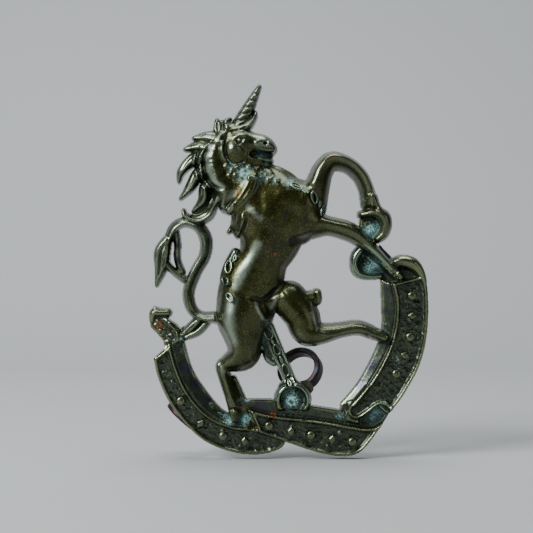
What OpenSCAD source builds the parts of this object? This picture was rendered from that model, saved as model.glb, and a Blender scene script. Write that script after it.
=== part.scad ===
// Cap badge: a collared and chained unicorn rampant on a folded ribbon scroll.
// Struck in bronze with a flat back, and held on the cap by two strip-ring lugs brazed to that back.
// +Z is up, +Y points out of the back and the relief rises towards -Y.
// The origin is on the back, at the middle of the unicorn's trunk.

/* [Overall] */
// Height, from the tip of the horn to the foot of the scroll
badge_height = 46.5; // [38:0.5:58]
// Width, from the corner of the left scroll to the edge of the right scroll
badge_width = 35; // [28:0.5:44]
// Relief of the figure at its chest and thigh
relief_depth = 4.2; // [3.4:0.1:5.2]

/* [Scroll] */
// Thickness of the ribbon at its ground
ribbon_t = 1.4; // [1:0.1:1.8]
// Rise of the ribbon's rims above its ground
rim_rise = 0.4; // [0.2:0.05:0.6]
// Width of the ribbon's rims
rim_w = 0.45; // [0.3:0.05:0.6]
// Thickness of the ledge along the ribbon's inner edge
ledge_t = 0.9; // [0.6:0.1:1.2]
// Width of an ornament on the ribbon
ornament_w = 1.5; // [1:0.1:1.8]

/* [Chain] */
// Length of a chain link
link_l = 1.5; // [1.2:0.1:1.8]
// Width of a chain link
link_w = 1.0; // [0.8:0.1:1.2]
// Thickness of the wire that the links are drawn as
link_wire = 0.3; // [0.2:0.05:0.4]
// Outside radius of the chain's end ring
ring_r = 2.3; // [2:0.1:2.6]
// Width of the end ring's wall
ring_wall = 0.75; // [0.5:0.05:1]

/* [Lugs] */
// Inside radius of a lug's ring
lug_bore_r = 2.1; // [1.6:0.1:2.6]
// Thickness of a lug's strip
lug_strip_t = 0.8; // [0.5:0.05:1.1]
// Width of a lug's strip
lug_strip_w = 1.75; // [1.2:0.05:2.4]
// Height of the braze at the foot of a lug
braze_rise = 0.7; // [0.4:0.05:0.9]
// Radius of the braze on the back
braze_r = 1.2; // [1:0.1:1.5]

/* [Hidden] */
// The outlines below are drawn for a badge of this size, and are stretched to the one asked for
drawn_height = 46.5;
drawn_width = 35;
drawn_depth = 4.2;
high = badge_height / drawn_height;
wide = badge_width / drawn_width;
deep = relief_depth / drawn_depth;
// Round forms keep their roundness, so their radii take the mean of the two stretches
fat = sqrt(high * wide);

rim_t = ribbon_t + rim_rise;
lug_r = lug_bore_r + lug_strip_t;
// How much wider a form is at the back plane than where its dome starts
draft = 0.08;
// Cutters pass a face by this much
past = 1;
// Sides of a round form, and of a fine one
round_sides = 20;
fine_sides = 14;
// Points on each stretch of a smooth outline
steps = 6;

bronze = "#4a4420";
worn_bronze = "#6b6540";
dark_bronze = "#2f2c1c";
verdigris = "#4f7d78";
copper = "#3a2320";
braze_metal = "#8a7a45";

// ---- The figure: each point is x, z, plan radius, relief ----

TRUNK = [[-2.6, 12.2, 2.4, 3.1], [-1.4, 9.8, 3.3, 3.6], [1.2, 7.2, 4.6, 4.2], [0.9, 3.6, 3.9, 4.1],
         [-0.1, 0.6, 3.1, 3.9], [-1.6, -2.8, 3.9, 4.0], [-2.4, -6, 3.6, 4.2]];
CHEST = [[2.6, 8.6, 2.4, 3.8], [4.6, 7.4, 2.8, 3.9], [4.2, 4.6, 2.2, 3.6]];
SHOULDER_TUFT = [[-2.2, 6, 1.9, 3.9], [-2.9, 4.6, 1.2, 3.4], [-3.3, 3.6, 0.4, 2.4]];

SKULL = [[-4.2, 16.4, 1.3, 2.6], [-3.3, 15.4, 1.9, 3.2], [-1.6, 15.1, 1.4, 3], [-0.1, 14.9, 1.2, 2.9],
         [0.8, 14.4, 0.8, 2.6]];
CHEEK = [[-3.3, 15.2, 1.7, 3.2], [-3.6, 14.1, 1.6, 3.4], [-2.3, 13.4, 0.9, 3], [-0.6, 13.1, 0.5, 2.6],
         [0.7, 12.9, 0.45, 2.4]];
MOUTH = [[-2.2, 13.7, 0.9, 2], [0.4, 13.6, 0.7, 1.9]];
BEARD = [[-2.6, 12.6, 0.8, 2.4], [-0.6, 12.1, 0.6, 2.2], [0.5, 11.8, 0.3, 1.8]];
BEARD_TIP = [[-2.4, 11.6, 0.9, 2.6], [-0.2, 11.2, 0.5, 2.2], [0.8, 11.3, 0.25, 1.8]];

EAR = [[-5.6, 16.2, 0.7, 2.4], [-5.8, 17.2, 0.5, 2.2], [-5.9, 18.1, 0.2, 1.8]];
FAR_EAR = [[-5.1, 16.9, 0.6, 1.6], [-5.3, 17.8, 0.3, 1.4]];
FORELOCKS = [
    [[-4.6, 16.9, 0.5, 2.6], [-4.7, 17.8, 0.4, 2.4], [-4.3, 18.2, 0.2, 2]],
    [[-2.9, 16.6, 0.6, 2.8], [-1.9, 17.4, 0.5, 2.4], [-1.1, 18.6, 0.25, 2], [-1.1, 19.2, 0.12, 1.6]],
];

MANE_LOCKS = [
    [[-5.6, 15.4, 1.3, 3], [-7.2, 15.8, 0.8, 2.4], [-8.8, 15.8, 0.25, 1.8]],
    [[-6.2, 14.4, 1.2, 2.8], [-8.2, 14.7, 0.8, 2.3], [-9.9, 14.4, 0.25, 1.8]],
    [[-6.8, 13.6, 1.3, 2.8], [-9, 13, 0.8, 2.3], [-10.4, 11.6, 0.5, 2], [-10.7, 10.3, 0.2, 1.6]],
    [[-6.6, 12.2, 1.3, 2.9], [-8.3, 11.2, 0.8, 2.4], [-9.3, 9.6, 0.6, 2.1], [-10.5, 8.2, 0.2, 1.6]],
    [[-6, 10.6, 1.2, 2.9], [-7.4, 9.6, 0.7, 2.5], [-7.7, 8, 0.6, 2.2], [-8.9, 6.6, 0.2, 1.6]],
    [[-5, 9, 1.2, 3], [-6.3, 7.6, 0.7, 2.5], [-7, 6.2, 0.7, 2.2], [-8.4, 5.5, 0.7, 2], [-9.8, 6, 0.4, 1.8],
     [-10.1, 6.8, 0.2, 1.6]],
];
CREST = [[-5.4, 15.4, 1.2, 3.1], [-6.1, 13.2, 1.3, 3.2], [-5.6, 11, 1.3, 3.2], [-4.6, 9, 1.2, 3.2],
         [-4.8, 7.2, 1, 2.8]];

COLLAR = [[-1.3, 10.9, 0.55, 4.1], [-1.9, 9.4, 0.6, 4.3], [-3, 7.8, 0.6, 4.2], [-4.3, 6.6, 0.5, 3.6]];

NEAR_FORELEG = [[5.5, 7, 2.3, 3.9], [6.6, 9.6, 1.6, 3.8], [7.4, 11.8, 1.3, 3.5], [8.6, 12.9, 1.2, 3.3],
                [10.6, 12.4, 1, 3], [12.1, 11, 0.95, 2.9], [12.9, 9.2, 0.95, 2.8], [13.2, 7.6, 1.05, 2.8]];
NEAR_FORE_HOOF = [[12.2, 6.2, 0.5, 2.2], [13.6, 6.4, 0.6, 2.6], [14.8, 6, 0.9, 2.8], [15.2, 4.9, 0.8, 2.7],
                  [14.9, 3.8, 0.7, 2.5], [14.1, 3.1, 0.5, 2.3]];
FORE_HOOF_SOLE = [[13.3, 5.2, 1.3, 1.3], [13.4, 4, 1.2, 1.3]];
FAR_FORELEG = [[5.6, 5, 1.9, 3.3], [8, 4.8, 1.2, 3.1], [10.4, 4.2, 1.2, 2.9], [12, 3.2, 1, 2.8],
               [13.6, 1.7, 0.85, 2.8], [15.3, 0, 0.7, 2.7], [16.4, -1.1, 0.7, 2.7], [17.1, -1.7, 0.4, 2.5]];

NEAR_HIND_LEG = [[-2.9, -7, 3, 4.2], [-2.5, -9.5, 2.3, 4.1], [-2.6, -11.4, 1.9, 3.7], [-4.4, -12.4, 1.1, 3.1],
                 [-5.3, -12.9, 0.75, 2.7], [-4.8, -14.5, 0.8, 2.6], [-4.2, -16.6, 0.7, 2.5],
                 [-3.7, -18.1, 0.8, 2.5], [-3.5, -19, 0.9, 2.4]];
HIND_SHANK_WALL = [[-4, -14.6, 0.6, 1.2], [-3.1, -16.6, 0.6, 1.2], [-2.4, -18.6, 0.8, 1.2], [-2.2, -19.6, 0.8, 1.2]];
FAR_HIND_LEG = [[3.1, -4.4, 2.3, 3.3], [4.7, -6.4, 2.2, 3.4], [5.4, -8.3, 1.9, 3.3], [7.2, -8.7, 1.3, 3],
                [9.5, -8.3, 0.95, 2.7], [11.8, -8, 0.9, 2.6], [13.8, -8.7, 0.8, 2.6], [15, -9.2, 0.6, 2.6]];
FLANK_TUFT = [[5, -4.1, 0.6, 2.2], [6.4, -4, 0.7, 2.2], [6.6, -4.6, 0.6, 2], [6.6, -3.7, 0.6, 2]];

TAIL_STEM = [[-5.4, -6.7, 0.8, 2.4], [-7.8, -6.6, 0.6, 2.2], [-9.1, -5.6, 0.65, 2.1], [-9.5, -3.5, 0.7, 2.1],
             [-8.6, -1, 0.7, 2.1], [-7.5, 1, 0.7, 2.1], [-7.3, 3, 0.75, 2.1], [-8.2, 4.7, 0.7, 2.1],
             [-9.9, 5.3, 0.6, 2.1], [-11.3, 4.6, 0.6, 2.1], [-12.1, 3, 0.5, 2]];
TAIL_BRUSHES = [
    [[-12.2, 3, 0.6, 2], [-12.8, 1.4, 1, 2.1], [-12.9, -0.4, 0.8, 2], [-13.5, -2.7, 0.2, 1.4]],
    [[-12.6, 0.4, 0.5, 1.7], [-11.4, -0.9, 0.4, 1.7], [-10, -1.9, 0.5, 1.7]],
    [[-8.2, -7, 0.6, 2], [-9.2, -8, 0.6, 1.9], [-10.2, -8.8, 0.4, 1.6]],
    [[-7, -7, 0.5, 1.8], [-8.2, -8.4, 0.5, 1.8], [-9.8, -9.2, 0.35, 1.6]],
];
// The web that joins the lower brush to the left scroll
TAIL_WEB = [[-10, -8.4, 0.5, 0.8], [-10.4, -9.3, 0.5, 0.8]];

// Chain links: x, z, turn in degrees, relief
BACK_LINKS = [[-3.6, 0.9, 20, 3.3], [-4.4, -0.3, 15, 3], [-4.9, -2, 5, 3], [-4.3, -4, -15, 3.4]];
CHEST_LINKS = [[3.8, 9.9, 65, 4], [5.4, 9, 55, 4.1], [6.6, 7.8, 40, 4], [7.4, 6.4, 20, 3.9]];
HIND_LINKS = [[0.4, -8.9, 25, 2], [1.4, -10.5, 25, 2], [2.5, -13, 15, 2], [3.1, -14.4, 20, 2]];
BACK_STRIP = [[-3.6, 1.4, 0.6, 2.6], [-4.6, -0.6, 0.6, 2.4], [-4.9, -2.4, 0.6, 2.4], [-4.3, -4.4, 0.5, 2.4]];
HIND_STRIP = [[0.5, -7.9, 0.7, 1.6], [1.5, -10.6, 0.8, 1.6], [2.6, -13, 0.7, 1.6], [3.4, -15, 0.7, 1.6]];
HIND_WEB = [[0.3, -8.8, 0.6, 1], [0.6, -11.4, 0.7, 1], [1.2, -12.3, 0.5, 1]];
CHAIN_RING_AT = [3.6, -17];
// Wall above the chain's end ring
RING_NECK = [[3.4, -15, 0.8, 1.5], [2.6, -15.6, 0.8, 1.3]];

// ---- The scroll: two edges of each band, as x, z ----

LEFT_OUTER = [[-13.8, -11.8], [-13.2, -14.4], [-11.4, -18], [-7.9, -21.8], [-4, -23.5], [-0.6, -23.8], [1.8, -23.2],
              [2.6, -22.5]];
LEFT_INNER = [[-11.7, -10.1], [-10.9, -13], [-9.4, -16.2], [-6.9, -18.9], [-4, -20.2], [-1.4, -20.5], [1, -21],
              [2.4, -21.9]];
LEFT_LEDGE = [[-10.1, -9.6], [-9.1, -13.1], [-7.5, -15.7], [-5.4, -18.2], [-3, -19.6], [-1.2, -20.2]];
LEFT_LEDGE_RIM = [[-11.7, -10.1], [-10.9, -13], [-9.4, -16.2], [-6.9, -18.9], [-4, -20.2], [-1.4, -20.5]];

LEFT_END = [[-14.3, -7.1], [-13.2, -6.7], [-12.2, -6.8], [-11, -7.6], [-10.2, -8.6], [-10.1, -9.6], [-11.7, -10.1],
            [-12.4, -10.7], [-12.6, -9.6], [-13.3, -8.8], [-14.2, -7.9]];
LEFT_FOLD = [[-14.4, -6.7], [-14.2, -6], [-13.8, -5.3], [-13.2, -5.6], [-12, -5.6], [-11.7, -6], [-11.7, -6.5],
             [-12.2, -6.8], [-13.2, -6.7], [-14.3, -7.1]];

CENTRE_TOP = [[-1.8, -18.2], [1.1, -18.9], [6.6, -19.5], [10.6, -20.2], [13.2, -20.5], [14.8, -19.8],
              [15.3, -18.9], [15.4, -18.5]];
CENTRE_FOOT = [[-0.6, -21.1], [2.6, -22.2], [6.6, -23.5], [9.6, -24], [11.8, -23.6], [13.4, -22], [15.2, -19.4],
               [15.9, -18.3]];
CENTRE_BACK = [[-2.1, -17], [0.8, -17], [5.9, -17.8], [9.7, -18.4], [11.6, -19.1], [13.3, -18.1], [14.4, -17.8],
               [15.1, -18.2]];

RIGHT_OUTER = [[20.1, -1.4], [20.5, -4], [20.4, -8.5], [19.5, -12.5], [17.6, -16.1], [16, -18.3]];
RIGHT_INNER = [[16, -2.4], [16.5, -5], [16.2, -8.5], [15.2, -11.4], [13.4, -14.6], [10.9, -17.8]];
RIGHT_LEDGE = [[14.7, -2], [14.8, -5], [14.8, -8], [14, -10.8], [11.9, -14.8], [9.6, -17.6]];
// The low ground under the right fold, where the band starts
RIGHT_ROOT = [[14.7, -2], [15, -1.8], [16, -1.2], [16.4, -0.5], [17.4, -0.6], [18.6, -0.9], [19.4, -1.9],
              [20.1, -1.4], [20.2, -2.8], [18, -3], [16, -3], [14.8, -2.8]];
// The rounded foot of the right band, before the centre band cuts it
RIGHT_TOE = [[15.9, -18.3], [13.4, -19.4], [11.6, -20], [9.8, -19.4], [9.6, -17.6], [11, -17], [15.4, -17.4]];

RIGHT_FOLD = [[16.1, 0.7], [17.3, 1.1], [18.5, 0.8], [19.5, 0], [20.1, -1.4], [19.4, -1.9], [18.6, -0.9],
              [17.4, -0.6], [16.4, -0.5]];
RIGHT_CURL = [[11.8, 2.2], [11.1, 1.2], [10.8, 0], [11.1, -0.9], [12, -1.6], [13.4, -1.9], [15, -1.8], [16, -1.2],
              [15.6, 0], [14.4, 1.2], [13, 2.2]];
LOWER_CURL = [[14.2, -17.7], [15, -17.2], [15.8, -17.9], [16, -18.3], [15.4, -18.7], [15, -18.5], [14.6, -18.1]];
// The web between the far foreleg and the right fold
FORE_WEB = [[14.2, 1.4], [14.5, 2.4], [16.1, 0.7], [16.4, -0.5]];

// Where the ornaments stand on each band, as a share of its length
LEFT_ORNAMENTS = [0.3, 0.42, 0.54, 0.66];
CENTRE_ORNAMENTS = [0.1, 0.19, 0.27, 0.36, 0.48];
RIGHT_ORNAMENTS = [0.18, 0.32, 0.46, 0.6, 0.74];

// Lugs and their braze: the middle of each on the back, as x, z
LEFT_LUG_AT = [-9.75, -19.4];
RIGHT_LUG_AT = [4.6, -13.5];
LEFT_BRAZE_FROM_LUG = [0.5, 0.6];
RIGHT_BRAZE_FROM_LUG = [0.5, -2.2];
// The left ring stands square to the back, with its bore across the band
LEFT_LUG_TURN = [0, 41, 0];
left_lug_y = lug_r;
// The right ring is bent over: its bore's way out of the back, and the lean of that from square
RIGHT_BORE = [0.33, 0.82, -0.47];
right_lean = acos(RIGHT_BORE[1] / norm(RIGHT_BORE));
// It touches the back with the edge of its strip
right_lug_y = lug_r * sin(right_lean) + lug_strip_w / 2 * cos(right_lean);

// ---- Curves and forms ----

// A smooth line through points, by Catmull and Rom's rule
function smooth(p) = [
    for (i = [0 : len(p) - 2], s = [0 : steps - 1])
        let (a = p[max(i - 1, 0)], b = p[i], c = p[i + 1], d = p[min(i + 2, len(p) - 1)], t = s / steps)
        (2 * b + (c - a) * t + (2 * a - 5 * b + 4 * c - d) * t * t + (3 * b - a - 3 * c + d) * t * t * t) / 2,
    p[len(p) - 1]
];

function placed(p) = [for (q = p) [q[0] * wide, q[1] * high]];

function reversed(p) = [for (i = [len(p) - 1 : -1 : 0]) p[i]];

// The outline between two edges
function between(a, b) = placed(concat(smooth(a), reversed(smooth(b))));

// The middle of a band at a share of its length, and the way the band runs there
function middle(a, b, share) =
    let (p = placed(smooth(a)), q = placed(smooth(b)), i = round(share * (len(p) - 2)), j = round(share * (len(q) - 2)))
    [(p[i] + q[j]) / 2, (p[i + 1] + q[j + 1] - p[i] - q[j]) / 2];

// A plate on the back plane, drawn in x and z
module plate(t, from = 0) {
    rotate([90, 0, 0]) translate([0, 0, from]) linear_extrude(t) children();
}

// A drafted, domed bead on the back plane
module bead(p, sides) {
    side = p[2] * fat;
    rise = p[3] * deep;
    cap = min(side, rise) * 0.9;
    translate([p[0] * wide, 0, p[1] * high]) rotate([90, 0, 0]) {
        cylinder(r1 = side + draft, r2 = side, h = rise - cap, $fn = sides);
        for (a = [0, 50])
            translate([0, 0, rise - cap * (1 - sin(a))])
                cylinder(r1 = side * cos(a), r2 = side * cos(a + 25), h = cap * (sin(a + 25) - sin(a)), $fn = sides);
    }
}

// A rounded form that runs through beads
module form(points, sides = round_sides) {
    for (i = [0 : len(points) - 2])
        hull() {
            bead(points[i], sides);
            bead(points[i + 1], sides);
        }
}

module forms(list, sides = round_sides) {
    for (points = list) form(points, sides);
}

// ---- Shapes that pieces are made of and that cut their neighbours ----

module trunk_shape() {
    form(TRUNK, 24);
    form(CHEST, 24);
    form(SHOULDER_TUFT);
}

module head_shape() {
    forms([SKULL, CHEEK, MOUTH, BEARD, BEARD_TIP]);
}

module mane_shape() {
    form(CREST);
    forms(MANE_LOCKS, 12);
}

module near_hind_shape() {
    form(NEAR_HIND_LEG, 24);
    form(HIND_SHANK_WALL, fine_sides);
}

module near_fore_shape() {
    form(NEAR_FORELEG);
    form(NEAR_FORE_HOOF, fine_sides);
    form(FORE_HOOF_SOLE, fine_sides);
}

module band(outer, inner) {
    plate(ribbon_t) polygon(between(outer, inner));
}

module rims(outer, inner) {
    plate(rim_rise, ribbon_t) difference() {
        polygon(between(outer, inner));
        offset(delta = -rim_w) polygon(between(outer, inner));
    }
}

module scroll_left_shape() {
    band(LEFT_OUTER, LEFT_INNER);
    rims(LEFT_OUTER, LEFT_INNER);
    plate(ledge_t) polygon(between(LEFT_LEDGE_RIM, LEFT_LEDGE));
}

module scroll_centre_shape() {
    difference() {
        union() {
            band(CENTRE_TOP, CENTRE_FOOT);
            rims(CENTRE_TOP, CENTRE_FOOT);
            plate(ledge_t) polygon(between(CENTRE_BACK, CENTRE_TOP));
        }
        plate(rim_t + 2 * past, -past) {
            polygon(between(LEFT_OUTER, LEFT_INNER));
            polygon(between(LEFT_LEDGE_RIM, LEFT_LEDGE));
            polygon(placed(smooth(LOWER_CURL)));
        }
    }
}

module scroll_right_shape() {
    difference() {
        union() {
            band(RIGHT_OUTER, RIGHT_INNER);
            rims(RIGHT_OUTER, RIGHT_INNER);
            plate(ledge_t) polygon(between(RIGHT_INNER, RIGHT_LEDGE));
            plate(ribbon_t) polygon(placed(RIGHT_TOE));
            plate(ledge_t) polygon(placed(RIGHT_ROOT));
        }
        plate(rim_t + 2 * past, -past) {
            polygon(between(CENTRE_TOP, CENTRE_FOOT));
            polygon(between(CENTRE_BACK, CENTRE_TOP));
            polygon(placed(smooth(LOWER_CURL)));
        }
    }
}

module scroll_right_fold_shape() {
    plate(rim_t) polygon(placed(RIGHT_FOLD));
    plate(ledge_t) polygon(placed(FORE_WEB));
}

module scroll_shapes() {
    scroll_left_shape();
    scroll_centre_shape();
    scroll_right_shape();
    scroll_right_fold_shape();
    plate(ledge_t) polygon(placed(RIGHT_CURL));
    plate(rim_t) polygon(placed(LEFT_END));
}

// One ornament: a lozenge or a round pellet
module ornament(place, round) {
    at = place[0];
    turn = atan2(place[1][1], place[1][0]);
    plate(rim_rise, ribbon_t) translate(at) rotate(turn)
        if (round) circle(d = ornament_w * 0.8, $fn = 24);
        else polygon([[-0.36, 0], [0, -0.5], [0.36, 0], [0, 0.5]] * ornament_w);
}

module ornaments(outer, inner, shares) {
    for (i = [0 : len(shares) - 1])
        ornament(middle(outer, inner, shares[i]), i % 2 == 0);
}

// A chain link drawn in relief, from the back plane up
module link(p) {
    plate(p[3] * deep) translate([p[0] * wide, p[1] * high]) rotate(p[2]) difference() {
        scale([link_w, link_l]) circle(d = 1, $fn = fine_sides);
        scale([link_w - 2 * link_wire, link_l - 2 * link_wire]) circle(d = 1, $fn = fine_sides);
    }
}

// A lug's ring about its own middle, with its bore along Z
module lug_ring() {
    difference() {
        cylinder(r = lug_r, h = lug_strip_w, center = true, $fn = 64);
        cylinder(r = lug_bore_r, h = lug_strip_w + 2 * past, center = true, $fn = 64);
    }
}

module left_lug_place() {
    translate([LEFT_LUG_AT[0] * wide, left_lug_y, LEFT_LUG_AT[1] * high]) rotate(LEFT_LUG_TURN) children();
}

module right_lug_place() {
    translate([RIGHT_LUG_AT[0] * wide, right_lug_y, RIGHT_LUG_AT[1] * high])
        rotate([0, acos(RIGHT_BORE[2] / norm(RIGHT_BORE)), atan2(RIGHT_BORE[1], RIGHT_BORE[0])]) children();
}

// A cap of braze on the back, beside a lug
module braze_cap(lug_at, from_lug) {
    ball_r = (braze_r * braze_r + braze_rise * braze_rise) / (2 * braze_rise);
    translate([lug_at[0] * wide + from_lug[0], 0, lug_at[1] * high + from_lug[1]]) intersection() {
        translate([0, braze_rise - ball_r, 0]) sphere(r = ball_r, $fn = 64);
        translate([-2 * braze_r, 0, -2 * braze_r]) cube([4 * braze_r, braze_rise + past, 4 * braze_r]);
    }
}

// ---- The pieces ----

module trunk() {
    color(bronze) trunk_shape();
}

module head() {
    color(worn_bronze) difference() {
        head_shape();
        trunk_shape();
    }
}

module horn() {
    color(worn_bronze) difference() {
        translate([-3.1 * wide, -1.1, 17.2 * high]) rotate([0, 26, 0])
            cylinder(r1 = 1.1, r2 = 0.25, h = 5.7 * high, $fn = 32);
        head_shape();
        forms(FORELOCKS, fine_sides);
    }
}

module ears_and_forelock() {
    color(bronze) difference() {
        forms([EAR, FAR_EAR, FORELOCKS[0], FORELOCKS[1]], fine_sides);
        head_shape();
    }
}

module mane() {
    color(bronze) difference() {
        mane_shape();
        trunk_shape();
        head_shape();
        forms([EAR, FAR_EAR], fine_sides);
    }
}

module collar() {
    color(worn_bronze) difference() {
        form(COLLAR);
        trunk_shape();
        head_shape();
        mane_shape();
    }
}

module near_foreleg() {
    color(bronze) difference() {
        near_fore_shape();
        trunk_shape();
    }
}

module far_foreleg() {
    color(bronze) difference() {
        form(FAR_FORELEG);
        trunk_shape();
        near_fore_shape();
        scroll_shapes();
    }
}

module near_hind_leg() {
    color(bronze) difference() {
        near_hind_shape();
        trunk_shape();
        scroll_shapes();
    }
}

module far_hind_leg() {
    color(bronze) difference() {
        forms([FAR_HIND_LEG, FLANK_TUFT]);
        trunk_shape();
        near_hind_shape();
        scroll_shapes();
    }
}

module tail() {
    color(bronze) difference() {
        union() {
            form(TAIL_STEM, fine_sides);
            forms(TAIL_BRUSHES, fine_sides);
            form(TAIL_WEB, fine_sides);
        }
        trunk_shape();
        near_hind_shape();
        mane_shape();
        scroll_shapes();
    }
}

module back_chain() {
    color(worn_bronze) difference() {
        union() {
            form(BACK_STRIP, fine_sides);
            for (p = BACK_LINKS) link(p);
        }
        trunk_shape();
    }
}

module chest_chain() {
    color(worn_bronze) difference() {
        for (p = CHEST_LINKS) link(p);
        trunk_shape();
        near_fore_shape();
        form(FAR_FORELEG);
    }
}

module hind_chain() {
    color(verdigris) difference() {
        union() {
            form(HIND_STRIP, fine_sides);
            form(HIND_WEB, fine_sides);
            form(RING_NECK, fine_sides);
            for (p = HIND_LINKS) link(p);
        }
        trunk_shape();
        near_hind_shape();
        forms([FAR_HIND_LEG]);
        translate([CHAIN_RING_AT[0] * wide, 0, CHAIN_RING_AT[1] * high]) rotate([90, 0, 0])
            cylinder(r = ring_r, h = 2 * relief_depth, center = true, $fn = 48);
    }
}

module chain_ring() {
    color(verdigris) difference() {
        translate([CHAIN_RING_AT[0] * wide, 0, CHAIN_RING_AT[1] * high]) rotate([90, 0, 0]) difference() {
            cylinder(r = ring_r, h = rim_t, $fn = 48);
            translate([0, 0, ledge_t]) cylinder(r = ring_r - ring_wall, h = rim_t, $fn = 48);
        }
        scroll_centre_shape();
    }
}

module scroll_left_fold() {
    color(bronze) plate(rim_t) polygon(placed(LEFT_FOLD));
}

module scroll_left_end() {
    color(worn_bronze) difference() {
        plate(rim_t) polygon(placed(LEFT_END));
        scroll_left_shape();
    }
}

module scroll_left() {
    color(bronze) scroll_left_shape();
}

module scroll_centre() {
    color(bronze) scroll_centre_shape();
}

module scroll_lower_curl() {
    color(verdigris) plate(rim_t) polygon(placed(smooth(LOWER_CURL)));
}

module scroll_right() {
    color(bronze) scroll_right_shape();
}

module scroll_right_fold() {
    color(worn_bronze) difference() {
        scroll_right_fold_shape();
        scroll_right_shape();
    }
}

module scroll_right_curl() {
    color(verdigris) plate(ledge_t) polygon(placed(RIGHT_CURL));
}

module left_ornaments() {
    color(worn_bronze) ornaments(LEFT_OUTER, LEFT_INNER, LEFT_ORNAMENTS);
}

module centre_ornaments() {
    color(worn_bronze) ornaments(CENTRE_TOP, CENTRE_FOOT, CENTRE_ORNAMENTS);
}

module right_ornaments() {
    color(worn_bronze) ornaments(RIGHT_OUTER, RIGHT_INNER, RIGHT_ORNAMENTS);
}

module lug_left() {
    color(copper) left_lug_place() lug_ring();
}

module lug_right() {
    color(copper) right_lug_place() lug_ring();
}

module braze_left() {
    color(braze_metal) difference() {
        braze_cap(LEFT_LUG_AT, LEFT_BRAZE_FROM_LUG);
        left_lug_place() cylinder(r = lug_r, h = lug_strip_w, center = true, $fn = 64);
    }
}

module braze_right() {
    color(braze_metal) difference() {
        braze_cap(RIGHT_LUG_AT, RIGHT_BRAZE_FROM_LUG);
        right_lug_place() cylinder(r = lug_r, h = lug_strip_w, center = true, $fn = 64);
    }
}

trunk();
head();
horn();
ears_and_forelock();
mane();
collar();
near_foreleg();
far_foreleg();
near_hind_leg();
far_hind_leg();
tail();
back_chain();
chest_chain();
hind_chain();
chain_ring();
scroll_left_fold();
scroll_left_end();
scroll_left();
scroll_centre();
scroll_lower_curl();
scroll_right();
scroll_right_fold();
scroll_right_curl();
left_ornaments();
centre_ornaments();
right_ornaments();
lug_left();
lug_right();
braze_left();
braze_right();
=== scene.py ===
"""A struck bronze cap badge: a chained unicorn on a ribbon scroll, with two ring lugs brazed to its back.

The badge is made as a die sinker makes it. A die holds the relief as heights over the back plane, and each
place in it belongs to one piece. A net of points takes the die's shape, and each piece is cut from the net
along its border and carried back to the back plane. Lengths are in millimetres until a mesh is finished.
"""
import math

import bmesh
import bpy
import numpy as np
from mathutils import Matrix, Vector


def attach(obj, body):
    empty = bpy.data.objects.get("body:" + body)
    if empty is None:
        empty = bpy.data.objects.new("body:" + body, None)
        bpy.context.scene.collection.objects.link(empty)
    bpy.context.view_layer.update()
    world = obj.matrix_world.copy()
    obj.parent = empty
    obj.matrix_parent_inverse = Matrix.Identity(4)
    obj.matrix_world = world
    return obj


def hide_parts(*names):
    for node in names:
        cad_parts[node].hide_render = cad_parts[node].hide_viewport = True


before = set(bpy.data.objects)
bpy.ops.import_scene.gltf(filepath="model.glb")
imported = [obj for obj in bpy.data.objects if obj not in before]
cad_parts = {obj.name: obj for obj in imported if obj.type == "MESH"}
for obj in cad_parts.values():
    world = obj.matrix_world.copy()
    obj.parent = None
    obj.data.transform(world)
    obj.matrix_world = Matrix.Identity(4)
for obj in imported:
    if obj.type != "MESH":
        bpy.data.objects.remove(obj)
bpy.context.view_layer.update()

MM = 0.001

# ---- Camera ----

EYE = (0.3, -170.0, -0.3)
# The width seen at the relief's middle height, which stands this far before the back plane
VIEW_WIDTH, MIDDLE_HEIGHT = 66.6, 1.5
SENSOR = 36.0


def place_camera():
    data = bpy.data.cameras.new("camera")
    camera = bpy.data.objects.new("camera", data)
    bpy.context.scene.collection.objects.link(camera)
    camera.location = Vector(EYE) * MM
    camera.rotation_euler = (math.radians(90), 0, 0)
    data.sensor_width = SENSOR
    data.lens = SENSOR * (-EYE[1] - MIDDLE_HEIGHT) / VIEW_WIDTH
    data.clip_start = 0.005
    bpy.context.scene.camera = camera


place_camera()

# ---- The drawing: beads of each form are x, z, radius, rise ----

HIND_STRIP = [(0.5, -7.9, 0.7, 1.3), (1.5, -10.6, 0.8, 1.3), (2.6, -13, 0.7, 1.3), (3.4, -15, 0.7, 1.3)]
HIND_WEB = [(0.3, -8.8, 0.6, 1), (0.6, -11.4, 0.7, 1), (1.2, -12.3, 0.5, 1)]
BACK_STRIP = [(-3.6, 1.4, 0.6, 2.6), (-4.6, -0.6, 0.6, 2.4), (-4.9, -2.4, 0.6, 2.4), (-4.3, -4.4, 0.5, 2.4)]
RING_NECK = [(3.4, -15, 0.8, 1.5), (2.6, -15.6, 0.8, 1.3)]

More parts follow.
